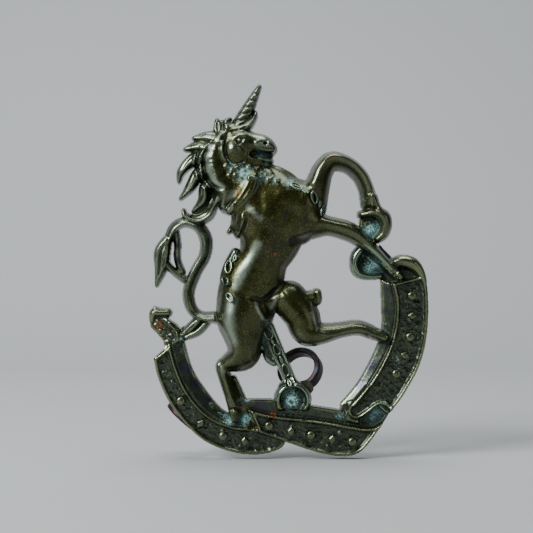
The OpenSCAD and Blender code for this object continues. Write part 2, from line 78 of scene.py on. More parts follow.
# Piece, beads, the crest's share to the left of the way the beads run, height at the edge as a share of the
# rise, fullness of the section, and softness of the join to what is there
FORMS = [
    ("hind_chain", HIND_WEB, 0, 0.7, 2, 0.3),
    ("hind_chain", HIND_STRIP, 0, 0.6, 2.4, 0.3),
    ("hind_chain", RING_NECK, 0, 0.6, 2, 0.5),
    ("back_chain", BACK_STRIP, 0, 0.6, 2, 0.3),
    ("tail", [(-10, -8.4, 0.5, 0.8), (-10.4, -9.3, 0.5, 0.8)], 0, 0.6, 2, 0.3),
    ("tail", [(-12.6, 0.4, 0.5, 1.7), (-11.4, -0.9, 0.4, 1.7), (-10, -1.9, 0.5, 1.7)], 0, 0.4, 2, 0.1),
    ("tail", [(-7, -7, 0.5, 1.8), (-8.2, -8.4, 0.5, 1.8), (-9.8, -9.2, 0.35, 1.6)], 0, 0.4, 1.8, 0.1),
    ("tail", [(-8.2, -7, 0.6, 2), (-9.2, -8, 0.6, 1.9), (-10.2, -8.8, 0.4, 1.6)], 0, 0.4, 1.8, 0.1),
    ("tail", [(-5.4, -6.7, 0.8, 2.4), (-7.8, -6.6, 0.6, 2.2), (-9.1, -5.6, 0.65, 2.1), (-9.5, -3.5, 0.7, 2.1),
              (-8.6, -1, 0.7, 2.1), (-7.5, 1, 0.7, 2.1), (-7.3, 3, 0.75, 2.1), (-8.2, 4.7, 0.7, 2.1),
              (-9.9, 5.3, 0.6, 2.1), (-11.3, 4.6, 0.6, 2.1), (-12.1, 3, 0.5, 2)], 0.55, 0.3, 1.5, 0.1),
    ("tail", [(-12.2, 3, 0.6, 2), (-12.8, 1.4, 1, 2.1), (-12.9, -0.4, 0.8, 2), (-13.5, -2.7, 0.2, 1.4)],
     0, 0.4, 2, 0.1),
    ("far_hind_leg", [(5, -4.1, 0.6, 2.2), (6.4, -4, 0.7, 2.2), (6.6, -4.6, 0.6, 2), (6.6, -3.7, 0.6, 2)],
     0, 0.5, 2, 0.2),
    ("far_hind_leg", [(3.1, -4.4, 2.3, 3.3), (4.7, -6.4, 2.2, 3.4), (5.4, -8.3, 1.9, 3.3),
                      (7.2, -8.7, 1.3, 3),
                      (9.5, -8.3, 0.95, 2.7), (11.8, -8, 0.9, 2.6), (13.8, -8.7, 0.8, 2.6),
                      (15, -9.2, 0.6, 2.6)],
     -0.1, 0.3, 2, 0.15),
    ("far_foreleg", [(5.6, 5, 1.9, 3.3), (8, 4.8, 1.2, 3.1), (10.4, 4.2, 1.2, 2.9), (12, 3.2, 1, 2.8),
                     (13.6, 1.7, 0.85, 2.8), (15.3, 0, 0.7, 2.7), (16.4, -1.1, 0.7, 2.7),
                     (17.1, -1.7, 0.4, 2.5)],
     0.15, 0.3, 1.9, 0.3),
    ("near_hind_leg", [(-4, -14.6, 0.6, 1.2), (-3.1, -16.6, 0.6, 1.2), (-2.4, -18.6, 0.8, 1.2),
                       (-2.2, -19.6, 0.8, 1.2), (-1.6, -20.3, 0.7, 1.2)], 0, 0.6, 2, 0.1),
    ("near_foreleg", [(13.3, 5.2, 1.3, 1.3), (13.4, 4, 1.2, 1.3)], 0, 0.8, 2, 0.1),
    ("trunk", [(-2.6, 12.2, 2.4, 3.1), (-1.4, 9.8, 3.3, 3.6), (1.2, 7.2, 4.6, 4.2), (0.9, 3.6, 3.9, 4.1),
               (-0.1, 0.6, 3.1, 3.9), (-1.6, -2.8, 3.9, 4.0), (-2.4, -6, 3.6, 4.2)], -0.38, 0.2, 1.9, 0.3),
    ("trunk", [(2.6, 8.6, 2.4, 3.8), (4.6, 7.4, 2.8, 3.9), (4.2, 4.6, 2.2, 3.6)], 0, 0.2, 2, 1.2),
    ("trunk", [(-2.2, 6, 1.9, 3.9), (-2.9, 4.6, 1.2, 3.4), (-3.3, 3.6, 0.4, 2.4)], 0, 0.3, 2, 0.3),
    ("trunk", [(-3.1, 5.5, 0.6, 2.8), (-3.8, 4.7, 0.45, 2.3), (-4.4, 4, 0.25, 1.9)], 0, 0.4, 2, 0.1),
    ("near_hind_leg", [(-2.9, -7, 3, 4.2), (-2.5, -9.5, 2.3, 4.1), (-2.6, -11.4, 1.9, 3.7),
                       (-4.4, -12.4, 1.1, 3.1),
                       (-5.3, -12.9, 0.75, 2.7), (-4.8, -14.5, 0.8, 2.6), (-4.2, -16.6, 0.7, 2.5),
                       (-3.7, -18.1, 0.8, 2.5), (-3.5, -19, 0.9, 2.4)], -0.42, 0.2, 1.9, 0.4),
    ("near_foreleg", [(5.5, 7, 2.3, 3.9), (6.6, 9.6, 1.6, 3.8), (7.4, 11.8, 1.3, 3.5), (8.6, 12.9, 1.2, 3.3),
                      (10.6, 12.4, 1, 3), (12.1, 11, 0.95, 2.9), (12.9, 9.2, 0.95, 2.8),
                      (13.2, 7.6, 1.05, 2.8)],
     0.42, 0.25, 1.6, 0.5),
    ("near_foreleg", [(13.4, 8.2, 0.9, 2.8), (14, 7, 0.7, 2.7), (14.8, 6, 0.8, 2.7)], 0.3, 0.3, 1.8, 0.3),
    ("near_foreleg", [(12.2, 6.2, 0.5, 2.2), (13.6, 6.4, 0.6, 2.6), (14.8, 6, 0.9, 2.8),
                      (15.2, 4.9, 0.8, 2.7),
                      (14.9, 3.8, 0.7, 2.5), (14.1, 3.1, 0.5, 2.3)], 0, 0.4, 2, 0.1),
    ("mane", [(-5.7, 9, 1.1, 1.6), (-6.8, 7.9, 1.1, 1.5), (-8, 6.6, 1, 1.4)], 0, 0.7, 2, 0.1),
    ("tail", [(-11.2, 4.4, 0.45, 1.5), (-10.9, 2.6, 0.42, 1.5), (-10.9, 0.6, 0.4, 1.4),
              (-10.3, -1, 0.4, 1.4)],
     0.2, 0.4, 1.8, 0.1),
    ("mane", [(-5.6, 15.4, 1.3, 3), (-7.2, 15.8, 0.8, 2.4), (-8.8, 15.8, 0.25, 1.8)], 0.2, 0.4, 1.8, 0.1),
    ("mane", [(-6.2, 14.4, 1.2, 2.8), (-8.2, 14.7, 0.8, 2.3), (-9.9, 14.4, 0.25, 1.8)], 0.2, 0.4, 1.8, 0.1),
    ("mane", [(-6.8, 13.6, 1.3, 2.8), (-9, 13, 0.8, 2.3), (-10.4, 11.6, 0.5, 2), (-10.7, 10.3, 0.2, 1.6)],
     0.3, 0.4, 1.8, 0.1),
    ("mane", [(-6.6, 12.2, 1.3, 2.9), (-8.3, 11.2, 0.8, 2.4), (-9.3, 9.6, 0.6, 2.1), (-10.5, 8.2, 0.2, 1.6)],
     0.3, 0.4, 1.8, 0.1),
    ("mane", [(-6, 10.6, 1.2, 2.9), (-7.4, 9.6, 0.7, 2.5), (-7.7, 8, 0.6, 2.2), (-8.9, 6.6, 0.2, 1.6)],
     0.3, 0.4, 1.8, 0.1),
    ("mane", [(-5, 9, 1.2, 3), (-6.3, 7.6, 0.7, 2.5), (-7, 6.2, 0.7, 2.2), (-8.4, 5.5, 0.7, 2),
              (-9.8, 6, 0.4, 1.8),
              (-10.1, 6.8, 0.2, 1.6)], 0.3, 0.4, 1.8, 0.1),
    ("mane", [(-4.9, 15.4, 1.5, 2.8), (-5.3, 13, 2.2, 3.1), (-4.9, 11, 2.2, 3.4), (-4.1, 9, 1.6, 3.4),
              (-4.6, 7.4, 1.1, 2.9)], -0.42, 0.35, 2, 0.4),
    ("ears_and_forelock", [(-5.1, 16.9, 0.6, 1.6), (-5.3, 17.8, 0.3, 1.4)], 0, 0.5, 2, 0.1),
    ("ears_and_forelock", [(-5.6, 16.2, 0.7, 2.4), (-5.8, 17.2, 0.5, 2.2), (-5.9, 18.1, 0.2, 1.8)],
     0, 0.6, 2, 0.1),
    ("ears_and_forelock", [(-4.6, 16.9, 0.5, 2.6), (-4.7, 17.8, 0.4, 2.4), (-4.3, 18.2, 0.2, 2)],
     0, 0.4, 2, 0.1),
    ("horn", [(-3.1, 17.2, 1.1, 2.3), (-1.85, 19.8, 0.72, 1.9), (-0.6, 22.3, 0.25, 1.4)], 0, 0.35, 2, 0.1),
    ("ears_and_forelock", [(-2.9, 16.6, 0.6, 2.8), (-1.9, 17.4, 0.5, 2.4), (-1.1, 18.6, 0.25, 2),
                           (-1.1, 19.2, 0.12, 1.6)], 0, 0.5, 2, 0.1),
    ("head", [(-2.6, 12.6, 0.8, 2.4), (-0.6, 12.1, 0.6, 2.2), (0.5, 11.8, 0.3, 1.8)], 0, 0.6, 2, 0.3),
    ("head", [(-2.4, 11.6, 0.9, 2.6), (-0.2, 11.2, 0.5, 2.2), (0.8, 11.3, 0.25, 1.8)], 0, 0.6, 2, 0.3),
    ("head", [(-2.2, 13.7, 0.9, 2), (0.4, 13.6, 0.7, 1.9)], 0, 0.8, 3, 0.1),
    ("head", [(-4.2, 16.4, 1.3, 2.6), (-3.3, 15.4, 1.9, 3.2), (-1.6, 15.1, 1.4, 3), (-0.1, 14.9, 1.2, 2.9),
              (0.8, 14.4, 0.8, 2.6)], 0, 0.35, 2.2, 0.3),
    ("head", [(-3.3, 15.2, 1.7, 3.2), (-3.6, 14.1, 1.6, 3.4), (-2.3, 13.4, 0.9, 3), (-0.6, 13.1, 0.5, 2.6),
              (0.7, 12.9, 0.45, 2.4)], 0, 0.3, 2.2, 0.15),
    ("collar", [(-1.3, 10.9, 0.55, 4.1), (-1.9, 9.4, 0.6, 4.3), (-3, 7.8, 0.6, 4.2), (-4.3, 6.6, 0.5, 3.6)],
     0, 0.8, 2, 0.05),
]

# Scroll bands: the two edges of each, as x, z
LEFT_OUTER = [(-13.8, -11.8), (-13.2, -14.4), (-11.4, -18), (-7.9, -21.8), (-4, -23.5), (-0.6, -23.8),
              (1.8, -23.2),
              (2.6, -22.5)]
LEFT_INNER = [(-11.7, -10.1), (-10.9, -13), (-9.4, -16.2), (-6.9, -18.9), (-4, -20.2), (-1.4, -20.5),
              (1, -21),
              (2.4, -21.9)]
LEFT_LEDGE = [(-10.1, -9.6), (-9.1, -13.1), (-7.5, -15.7), (-5.4, -18.2), (-3, -19.6), (-1.2, -20.2)]
CENTRE_TOP = [(-1.8, -18.2), (1.1, -18.9), (6.6, -19.5), (10.6, -20.2), (13.2, -20.5), (14.8, -19.8),
              (15.3, -18.9), (15.4, -18.5)]
CENTRE_FOOT = [(-0.6, -21.1), (2.6, -22.2), (6.6, -23.5), (9.6, -24), (11.8, -23.6), (13.4, -22),
               (15.2, -19.4),
               (15.9, -18.3)]
CENTRE_BACK = [(-2.1, -17), (0.8, -17), (5.9, -17.8), (9.7, -18.4), (11.6, -19.1), (13.3, -18.1),
               (14.4, -17.8),
               (15.1, -18.2)]
RIGHT_OUTER = [(20.1, -1.4), (20.5, -4), (20.4, -8.5), (19.5, -12.5), (17.6, -16.1), (16, -18.3)]
RIGHT_INNER = [(16, -2.4), (16.5, -5), (16.2, -8.5), (15.2, -11.4), (13.4, -14.6), (10.9, -17.8)]
RIGHT_LEDGE = [(14.7, -2), (14.8, -5), (14.8, -8), (14, -10.8), (11.9, -14.8), (9.6, -17.6)]
RIGHT_TOE = [(15.9, -18.3), (13.4, -19.4), (11.6, -20), (9.8, -19.4), (9.6, -17.6), (11, -17), (15.4, -17.4)]
RIGHT_ROOT = [(14.7, -2), (15, -1.8), (16, -1.2), (16.4, -0.5), (17.4, -0.6), (18.6, -0.9), (19.4, -1.9),
              (20.1, -1.4), (20.2, -2.8), (18, -3), (16, -3), (14.8, -2.8)]
LEFT_END = [(-14.3, -7.1), (-13.2, -6.7), (-12.2, -6.8), (-11, -7.6), (-10.2, -8.6), (-10.1, -9.6),
            (-11.7, -10.1),
            (-12.4, -10.7), (-12.6, -9.6), (-13.3, -8.8), (-14.2, -7.9)]
LEFT_FOLD = [(-14.4, -6.7), (-14.2, -6), (-13.8, -5.3), (-13.2, -5.6), (-12, -5.6), (-11.7, -6),
             (-11.7, -6.5),
             (-12.2, -6.8), (-13.2, -6.7), (-14.3, -7.1)]
RIGHT_FOLD = [(16.1, 0.7), (17.3, 1.1), (18.5, 0.8), (19.5, 0), (20.1, -1.4), (19.4, -1.9), (18.6, -0.9),
              (17.4, -0.6), (16.4, -0.5)]
FORE_WEB = [(14.2, 1.4), (14.5, 2.4), (16.1, 0.7), (16.4, -0.5)]
RIGHT_CURL = [(11.8, 2.2), (11.1, 1.2), (10.8, 0), (11.1, -0.9), (12, -1.6), (13.4, -1.9), (15, -1.8),
              (16, -1.2),
              (15.6, 0), (14.4, 1.2), (13, 2.2)]
LOWER_CURL = [(14.2, -17.7), (15, -17.2), (15.8, -17.9), (16, -18.3), (15.4, -18.7), (15, -18.5),
              (14.6, -18.1)]
BOWL = [(11.8, -19.35), (12.8, -18.75), (13.9, -17.85), (14.8, -17.4), (15.5, -17.7), (15.75, -18.4),
        (15.2, -19.3),
        (14.3, -19.9), (13, -20.1), (12, -19.8), (11.8, -19.35)]
TONGUE = [(12.9, -15.3), (11.6, -16.9), (10.75, -18), (10.85, -18.8), (11.6, -19.15), (12.6, -18.6),
          (13.8, -17.7),
          (14.8, -17.25), (15.6, -17.5), (15.9, -18.2)]
RING_AT, RING_R = (3.6, -17), 2.3

# The order in which the struck metal is parted: each piece takes what the ones before it left
PARTING = ["trunk", "head", "horn", "ears_and_forelock", "collar", "mane", "near_foreleg", "near_hind_leg",
           "scroll_left_fold", "scroll_left_end", "scroll_lower_curl", "scroll_left", "scroll_centre",
           "scroll_right_fold", "scroll_right_curl", "scroll_right", "far_foreleg", "far_hind_leg", "tail",
           "back_chain", "chain_ring", "hind_chain"]

# How far a wall spreads toward the back, and the least metal that a cut leaves
DRAFT, LEAST = 0.12, 0.3


def flowing(points, steps=6):
    """A smooth line through points, by Catmull and Rom's rule."""
    p = np.array(points, float)
    last = len(p) - 1
    line = []
    for i in range(last):
        a, b, c, d = p[max(i - 1, 0)], p[i], p[i + 1], p[min(i + 2, last)]
        for t in np.arange(steps) / steps:
            line.append((2 * b + (c - a) * t + (2 * a - 5 * b + 4 * c - d) * t * t
                         + (3 * b - a - 3 * c + d) * t ** 3) / 2)
    return np.array(line + [p[last]])


def between(a, b):
    """The outline between two smooth edges."""
    return np.concatenate([flowing(a), flowing(b)[::-1]])


def along(path, x, z, radii=None):
    """For each point: its distance from a path, where along the path it is, and the side, 1 on the left."""
    best = np.full(x.shape, 1e9)
    where, side, gap = np.zeros(x.shape), np.ones(x.shape), np.full(x.shape, 1e9)
    for i in range(len(path) - 1):
        ax, az = path[i, :2]
        dx, dz = path[i + 1, :2] - path[i, :2]
        t = np.clip(((x - ax) * dx + (z - az) * dz) / max(dx * dx + dz * dz, 1e-9), 0, 1)
        ox, oz = x - ax - t * dx, z - az - t * dz
        d = np.hypot(ox, oz)
        rank = d if radii is None else d / (radii[i] + t * (radii[i + 1] - radii[i]))
        near = rank < best
        best = np.where(near, rank, best)
        gap = np.where(near, d, gap)
        where = np.where(near, i + t, where)
        side = np.where(near, np.where(dx * oz - dz * ox >= 0, 1.0, -1.0), side)
    return gap, where, side


def inside(outline, x, z):
    """Which points lie in an outline."""
    hit = np.zeros(x.shape, bool)
    for (ax, az), (bx, bz) in zip(outline, np.roll(outline, -1, axis=0)):
        if az != bz:
            hit ^= ((az > z) != (bz > z)) & (x < (bx - ax) * (z - az) / (bz - az) + ax)
    return hit


# ---- The die ----

class Die:
    """The relief as heights on a fine square grid, with the finish maps that follow from it."""

    def __init__(self, low, high, pitch, seed):
        self.low, self.pitch = np.array(low, float), pitch
        nx, nz = (int((high[i] - low[i]) / pitch) + 1 for i in (0, 1))
        self.x, self.z = np.meshgrid(low[0] + np.arange(nx) * pitch, low[1] + np.arange(nz) * pitch)
        self.relief = np.zeros(self.x.shape)
        self.owner = np.full(self.x.shape, -1)
        self.random = np.random.default_rng(seed)

    def window(self, points, reach):
        p = np.array(points, float)[:, :2]
        a = np.floor((p.min(0) - reach - self.low) / self.pitch).astype(int)
        b = np.ceil((p.max(0) + reach - self.low) / self.pitch).astype(int) + 1
        a = np.maximum(a, 0)
        return slice(a[1], b[1]), slice(a[0], b[0])

    def join(self, piece, w, height, blend):
        """Raises the relief to a height, where there is one, with a soft join. The piece claims the place."""
        rank, owner = PARTING.index(piece), self.owner[w]
        self.owner[w] = np.where((height > 0) & ((owner < 0) | (rank < owner)), rank, owner)
        old = self.relief[w]
        lift = np.where(old > 0, np.maximum(blend - np.abs(old - height), 0) ** 2 / (4 * blend), 0)
        self.relief[w] = np.where(height > 0, np.maximum(old, height) + lift, old)

    def form(self, piece, beads, crest, edge, fullness, blend):
        path = flowing(beads)
        w = self.window(beads, path[:, 2].max())
        d, at, side = along(path, self.x[w], self.z[w], path[:, 2])
        steps = np.arange(len(path))
        u = side * d / np.interp(at, steps, path[:, 2])
        u = np.where(u > crest, (u - crest) / (1 - crest), (crest - u) / (1 + crest))
        dome = (1 - np.clip(u, 0, 1) ** fullness) ** (1 / fullness)
        height = np.where(u <= 1, np.interp(at, steps, path[:, 3]) * (edge + (1 - edge) * dome), 0)
        self.join(piece, w, height, blend)

    def line(self, points, width, depth, fade=True, sharp=2.0):
        """Cuts a groove along a line, or raises a ridge where depth is below 0."""
        path = flowing(points)
        w = self.window(points, 3 * width)
        d, at, _ = along(path, self.x[w], self.z[w])
        share = at / (len(path) - 1)
        ends = np.sqrt(np.clip(np.sin(np.pi * np.clip(share, 0.03, 0.97)), 0, 1)) if fade else 1
        cut = depth * ends * np.exp(-(d / width) ** sharp)
        self.relief[w] = np.where(self.relief[w] > 0, np.maximum(self.relief[w] - cut, LEAST), 0)

    def spot(self, x, z, r, depth, stretch=1.0, turn=0.0):
        """Sinks a round pit, or raises a boss where depth is below 0."""
        w = self.window([(x, z)], 3 * r * max(stretch, 1))
        c, s = math.cos(math.radians(turn)), math.sin(math.radians(turn))
        dx, dz = self.x[w] - x, self.z[w] - z
        u, v = dx * c + dz * s, (dz * c - dx * s) / stretch
        cut = depth * np.exp(-((u * u + v * v) / (r * r)) ** 1.5)
        self.relief[w] = np.where(self.relief[w] > 0, np.maximum(self.relief[w] - cut, LEAST), 0)

    def area(self, piece, outline, height, blend=0.05):
        """Raises an outlined area to a height, a number or a function of the window."""
        w = self.window(outline, 0.2)
        h = height(self.x[w], self.z[w]) if callable(height) else height
        self.join(piece, w, np.where(inside(outline, self.x[w], self.z[w]), h, 0), blend)

    def sink(self, outline, height):
        """Lowers an outlined area to a height."""
        w = self.window(outline, 0.2)
        low = inside(outline, self.x[w], self.z[w]) & (self.relief[w] > height)
        self.relief[w] = np.where(low, height, self.relief[w])

    def soften(self, values, sigma):
        """A round blur, sigma in millimetres."""
        fz, fx = np.fft.fftfreq(values.shape[0], self.pitch), np.fft.rfftfreq(values.shape[1], self.pitch)
        keep = np.exp(-2 * (math.pi * sigma) ** 2 * (fz[:, None] ** 2 + fx[None, :] ** 2))
        return np.fft.irfft2(np.fft.rfft2(values) * keep, s=values.shape)

    def grain(self, sigma):
        """Smooth random values with a spread of 1."""
        g = self.soften(self.random.standard_normal(self.x.shape), sigma)
        return g / g.std()

    def spread(self, rounds):
        """Carries the relief past the outline, so that a wall has the height of its edge."""
        for _ in range(rounds):
            out = self.relief <= 0
            near = np.max([np.roll(self.relief, s, axis=a) for a in (0, 1) for s in (-1, 1)], axis=0)
            self.relief = np.where(out, near, self.relief)

    def read(self, values, x, z):
        """Values of a map at points, by straight interpolation."""
        u = np.clip((x - self.low[0]) / self.pitch, 0, values.shape[1] - 2)
        v = np.clip((z - self.low[1]) / self.pitch, 0, values.shape[0] - 2)
        i, j = u.astype(int), v.astype(int)
        s, t = u - i, v - j
        return (values[j, i] * (1 - s) * (1 - t) + values[j, i + 1] * s * (1 - t)
                + values[j + 1, i] * (1 - s) * t + values[j + 1, i + 1] * s * t)


# The scroll: its rim's place and half width, its grounds, and how far the rim stands over them
RIM_IN, RIM_HALF = 0.24, 0.2
GROUND, CENTRE_GROUND, RIM_RISE = 1.3, 1.35, 0.45
LEDGE_HIGH, LEDGE_LOW = 1.35, 0.8


def rim(d):
    return np.exp(-((d - RIM_IN) / RIM_HALF) ** 2)


def sink_bands(die):
    """The scroll: stippled grounds between raised rims, and the drafted ledges on their inner side."""
    def band(piece, outer, inner, ground, end_fade=1.0):
        a, b = flowing(outer), flowing(inner)

        def height(x, z):
            da, at, _ = along(a, x, z)
            db = along(b, x, z)[0]
            dc = along(np.array([outer[0], inner[0]], float), x, z)[0]
            share = at / (len(a) - 1)
            keep = np.clip((1 - share) / (1 - end_fade), 0, 1) if end_fade < 1 else 1
            lift = np.maximum(np.maximum(rim(da), rim(db)), rim(dc)) * keep
            return ground + RIM_RISE * lift
        die.area(piece, between(outer, inner), height)

    def ledge(piece, rim_edge, ledge_edge, high, low):
        a, b = flowing(rim_edge), flowing(ledge_edge)

        def height(x, z):
            da, db = along(a, x, z)[0], along(b, x, z)[0]
            s = da / (da + db + 1e-6)
            return high + (low - high) * s - 0.25 * np.exp(-(da / 0.12) ** 2)
        die.area(piece, between(rim_edge, ledge_edge), height)

    ledge("scroll_left", LEFT_INNER[:6], LEFT_LEDGE, LEDGE_HIGH, LEDGE_LOW)
    ledge("scroll_right", RIGHT_INNER, RIGHT_LEDGE, LEDGE_HIGH, LEDGE_LOW)
    ledge("scroll_centre", CENTRE_TOP, CENTRE_BACK, 0.75, 1.1)
    die.area("scroll_right", np.array(RIGHT_ROOT), 0.8)
    die.area("scroll_right", np.array(RIGHT_TOE), lambda x, z: np.where(x > 10.4, 1.3, 0.9))
    band("scroll_left", LEFT_OUTER, LEFT_INNER, GROUND, 0.55)
    band("scroll_right", RIGHT_OUTER, RIGHT_INNER, GROUND)
    band("scroll_centre", CENTRE_TOP, CENTRE_FOOT, CENTRE_GROUND)
    die.sink(flowing(BOWL), 0.65)
    die.line(TONGUE, 0.2, -0.5, fade=False)
    die.area("scroll_left_end", np.array(LEFT_END), 1.35)
    die.line([(-12.2, -7), (-11.4, -7.9), (-10.9, -8.7), (-10.8, -9.6)], 0.16, -0.35, fade=False)
    die.area("scroll_right_fold", np.array(FORE_WEB), 0.8)
    die.area("scroll_right_curl", np.array(RIGHT_CURL), 0.75)
    die.area("scroll_right_fold", np.array(RIGHT_FOLD), 1.2)
    die.area("scroll_left_fold", np.array(LEFT_FOLD), 1.3)
    die.area("scroll_lower_curl", flowing(LOWER_CURL), 1.3)
    die.form("scroll_left_fold", [(-14, -6.9, 0.4, 1.7), (-13.8, -6.1, 0.5, 1.9), (-13, -6.1, 0.5, 1.9),
                                  (-12.1, -6.1, 0.5, 1.8)], 0, 0.5, 2, 0.1)
    die.form("scroll_right_fold", [(16.2, 0, 0.7, 1.9), (17.3, 0.3, 0.8, 2), (18.6, 0, 0.8, 2),
                                   (19.5, -1, 0.6, 1.9), (20, -2.2, 0.4, 1.8)], 0.2, 0.5, 2, 0.1)
    die.form("scroll_right_curl", [(12.4, 2, 0.5, 1.6), (11.6, 1.2, 0.6, 1.7), (11.3, 0.1, 0.5, 1.7),
                                   (11.7, -1, 0.55, 1.7), (12.9, -1.5, 0.45, 1.6), (14.6, -1.5, 0.35, 1.4)],
             0, 0.4, 2, 0.1)
    die.form("scroll_lower_curl", [(14.6, -17.4, 0.25, 1.6), (15.3, -17.5, 0.35, 1.9),
                                   (15.75, -18, 0.3, 1.9)],
             0, 0.5, 2, 0.1)


def sink_ring(die):
    """The chain's end ring: a round wall about a low domed disc."""
    wall_r, wall_half, wall_rise = 1.88, 0.46, 1.85
    disc_r, disc_foot, dome, gutter, scroll_edge = 1.42, 0.85, 0.45, 0.55, -18.2
    w = die.window([RING_AT], RING_R)
    d = np.hypot(die.x[w] - RING_AT[0], die.z[w] - RING_AT[1])
    wall = wall_rise * np.sqrt(np.clip(1 - ((d - wall_r) / wall_half) ** 2, 0, 1))
    disc = np.where(d < disc_r, disc_foot + dome * np.sqrt(np.clip(1 - (d / 1.5) ** 2, 0, 1)), gutter)
    height = np.where(d <= RING_R, np.maximum(wall, disc), 0)
    die.join("chain_ring", w, np.where(die.z[w] < scroll_edge, 0, height), 0.05)


# The pieces whose forms flow into each other as muscle does
MUSCLED = ("trunk", "near_hind_leg")


def sink_figure(die):
    """The figure's forms, then a softening of the muscled pieces only."""
    for form in FORMS:
        die.form(*form)
    muscled = np.isin(die.owner, [PARTING.index(name) for name in MUSCLED]) * 1.0
    share = np.clip(3 * die.soften(muscled, 0.25) - 2, 0, 1)
    for _ in range(2):
        die.relief += (die.soften(die.relief, 0.3) - die.relief) * share


def carve(die):
    """The graver's work: eyes, mouth, locks, muscles and creases."""
    # Eye, brow, cheek
    die.spot(-3.05, 15.35, 0.42, 0.28)
    die.spot(-3.02, 15.38, 0.2, -0.26)
    die.line([(-3.65, 15.75), (-3.0, 16.0), (-2.3, 15.85)], 0.13, -0.22)
    die.line([(-3.55, 15.5), (-3.1, 14.85), (-2.45, 15.75)], 0.09, 0.16)
    die.spot(-3.75, 13.9, 1.25, -0.3)
    die.line([(-4.9, 15.6), (-5.25, 14.4), (-4.95, 13.1), (-4.3, 12.5)], 0.24, -0.3)
    die.line([(-4.75, 14.9), (-4.95, 13.9), (-4.5, 12.9), (-3.9, 12.4), (-2.9, 12.5), (-2.2, 13.2)],
             0.14, 0.35)
    # Mouth: an open slot with teeth
    die.line([(-1.5, 13.65), (-0.6, 13.62), (0.4, 13.6), (1.3, 13.6)], 0.28, 0.5, fade=False, sharp=4)
    die.line([(-1.3, 13.66), (-0.3, 13.64), (0.8, 13.64)], 0.15, -0.45)
    for x in (-1.0, -0.6, -0.2, 0.2, 0.6):
        die.spot(x, 13.7, 0.1, 0.18)
    die.line([(-1.75, 14.1), (-1.9, 13.6), (-1.6, 13.1)], 0.12, -0.18)
    # Nostril and lips
    die.spot(0.16, 15.02, 0.2, 0.5)
    die.spot(0.62, 15.0, 0.24, -0.22)
    die.spot(-0.85, 15.0, 0.4, -0.18)
    die.line([(-0.4, 14.5), (0.4, 14.35), (1.2, 14.5)], 0.1, 0.16)
    die.spot(1.25, 14.15, 0.22, -0.2)
    # Far and near ear
    die.line([(-5.85, 16.6), (-5.88, 17.2), (-5.9, 17.8)], 0.16, 0.55)
    # Horn's twist
    for i in range(5):
        t = 0.1 + 0.17 * i
        cx, cz = -3.1 + 2.5 * t, 17.2 + 5.1 * t
        r = 1.1 - 0.85 * t
        die.line([(cx - r * 0.95, cz + 0.2 * r), (cx, cz + 0.25 * r), (cx + r * 0.9, cz + 0.85 * r)],
                 0.12 + 0.05 * r, 0.32)
    # Forelock curls
    die.line([(-4.9, 17.2), (-4.5, 17.6), (-4.3, 18.0)], 0.08, 0.2)
    die.line([(-2.7, 16.9), (-1.8, 17.7), (-1.2, 18.6)], 0.08, 0.2)
    die.line([(-4.1, 16.7), (-3.2, 16.95), (-2.3, 17.3)], 0.12, -0.2)
    die.line([(-4.0, 16.45), (-3.1, 16.65), (-2.1, 16.8)], 0.08, 0.2)
    # The mane's root: a groove and thin ridges beside the neck's fold
    die.line([(-6.9, 14.8), (-7.5, 13.3), (-7.45, 11.6), (-7.0, 10.4), (-6.0, 9.55), (-5.0, 9.3)], 0.16, 0.5)
    die.line([(-6.3, 15.6), (-7.5, 14.2), (-7.95, 13.2), (-7.9, 11.6), (-7.4, 10.3), (-6.3, 9.2),
              (-5.2, 9.0)],
             0.14, -0.35)
    die.line([(-7.0, 15.3), (-8.2, 14.2), (-8.35, 12.2), (-7.8, 10.4), (-6.9, 9.2), (-6.0, 8.5)], 0.12, 0.3)
    die.line([(-7.4, 15.0), (-8.5, 13.9), (-8.7, 12.2), (-8.1, 10.4), (-7.3, 9.0), (-7.4, 7.8), (-8.2, 6.8)],
             0.12, -0.3)
    die.line([(-6.2, 8.9), (-6.6, 7.4), (-7.4, 6.5)], 0.14, 0.4)
    # Strands along the locks
    for strand in (
        [(-6.2, 15.9), (-7.3, 16.1), (-8.6, 15.8)], [(-6.2, 15.3), (-7.2, 15.5), (-8.4, 15.7)],
        [(-7.0, 14.9), (-8.3, 15.0), (-9.6, 14.5)], [(-7.2, 14.2), (-8.4, 14.3), (-9.5, 14.3)],
        [(-7.6, 13.7), (-9.1, 13.3), (-10.2, 11.9), (-10.6, 10.6)],
        [(-7.8, 13.2), (-8.9, 12.6), (-9.8, 11.4), (-10.4, 10.5)],
        [(-7.4, 12.3), (-8.5, 11.4), (-9.2, 9.8), (-10.2, 8.5)], [(-7.3, 11.7), (-8.1, 10.9), (-8.9, 9.4),
                                                                  (-9.8, 8.2)],
        [(-6.9, 10.6), (-7.5, 9.7), (-7.8, 8.2), (-8.6, 6.9)], [(-6.6, 10.1), (-7.2, 9.2), (-7.4, 8),
                                                                (-8.3, 6.9)],
        [(-5.9, 8.8), (-6.5, 7.6), (-7.0, 6.4), (-8.3, 5.7), (-9.6, 6.1), (-10.0, 6.7)],
        [(-5.3, 8.2), (-5.9, 7), (-6.5, 5.9), (-8.2, 5.1), (-9.6, 5.5)],
    ):
        die.line(strand, 0.09, 0.2)
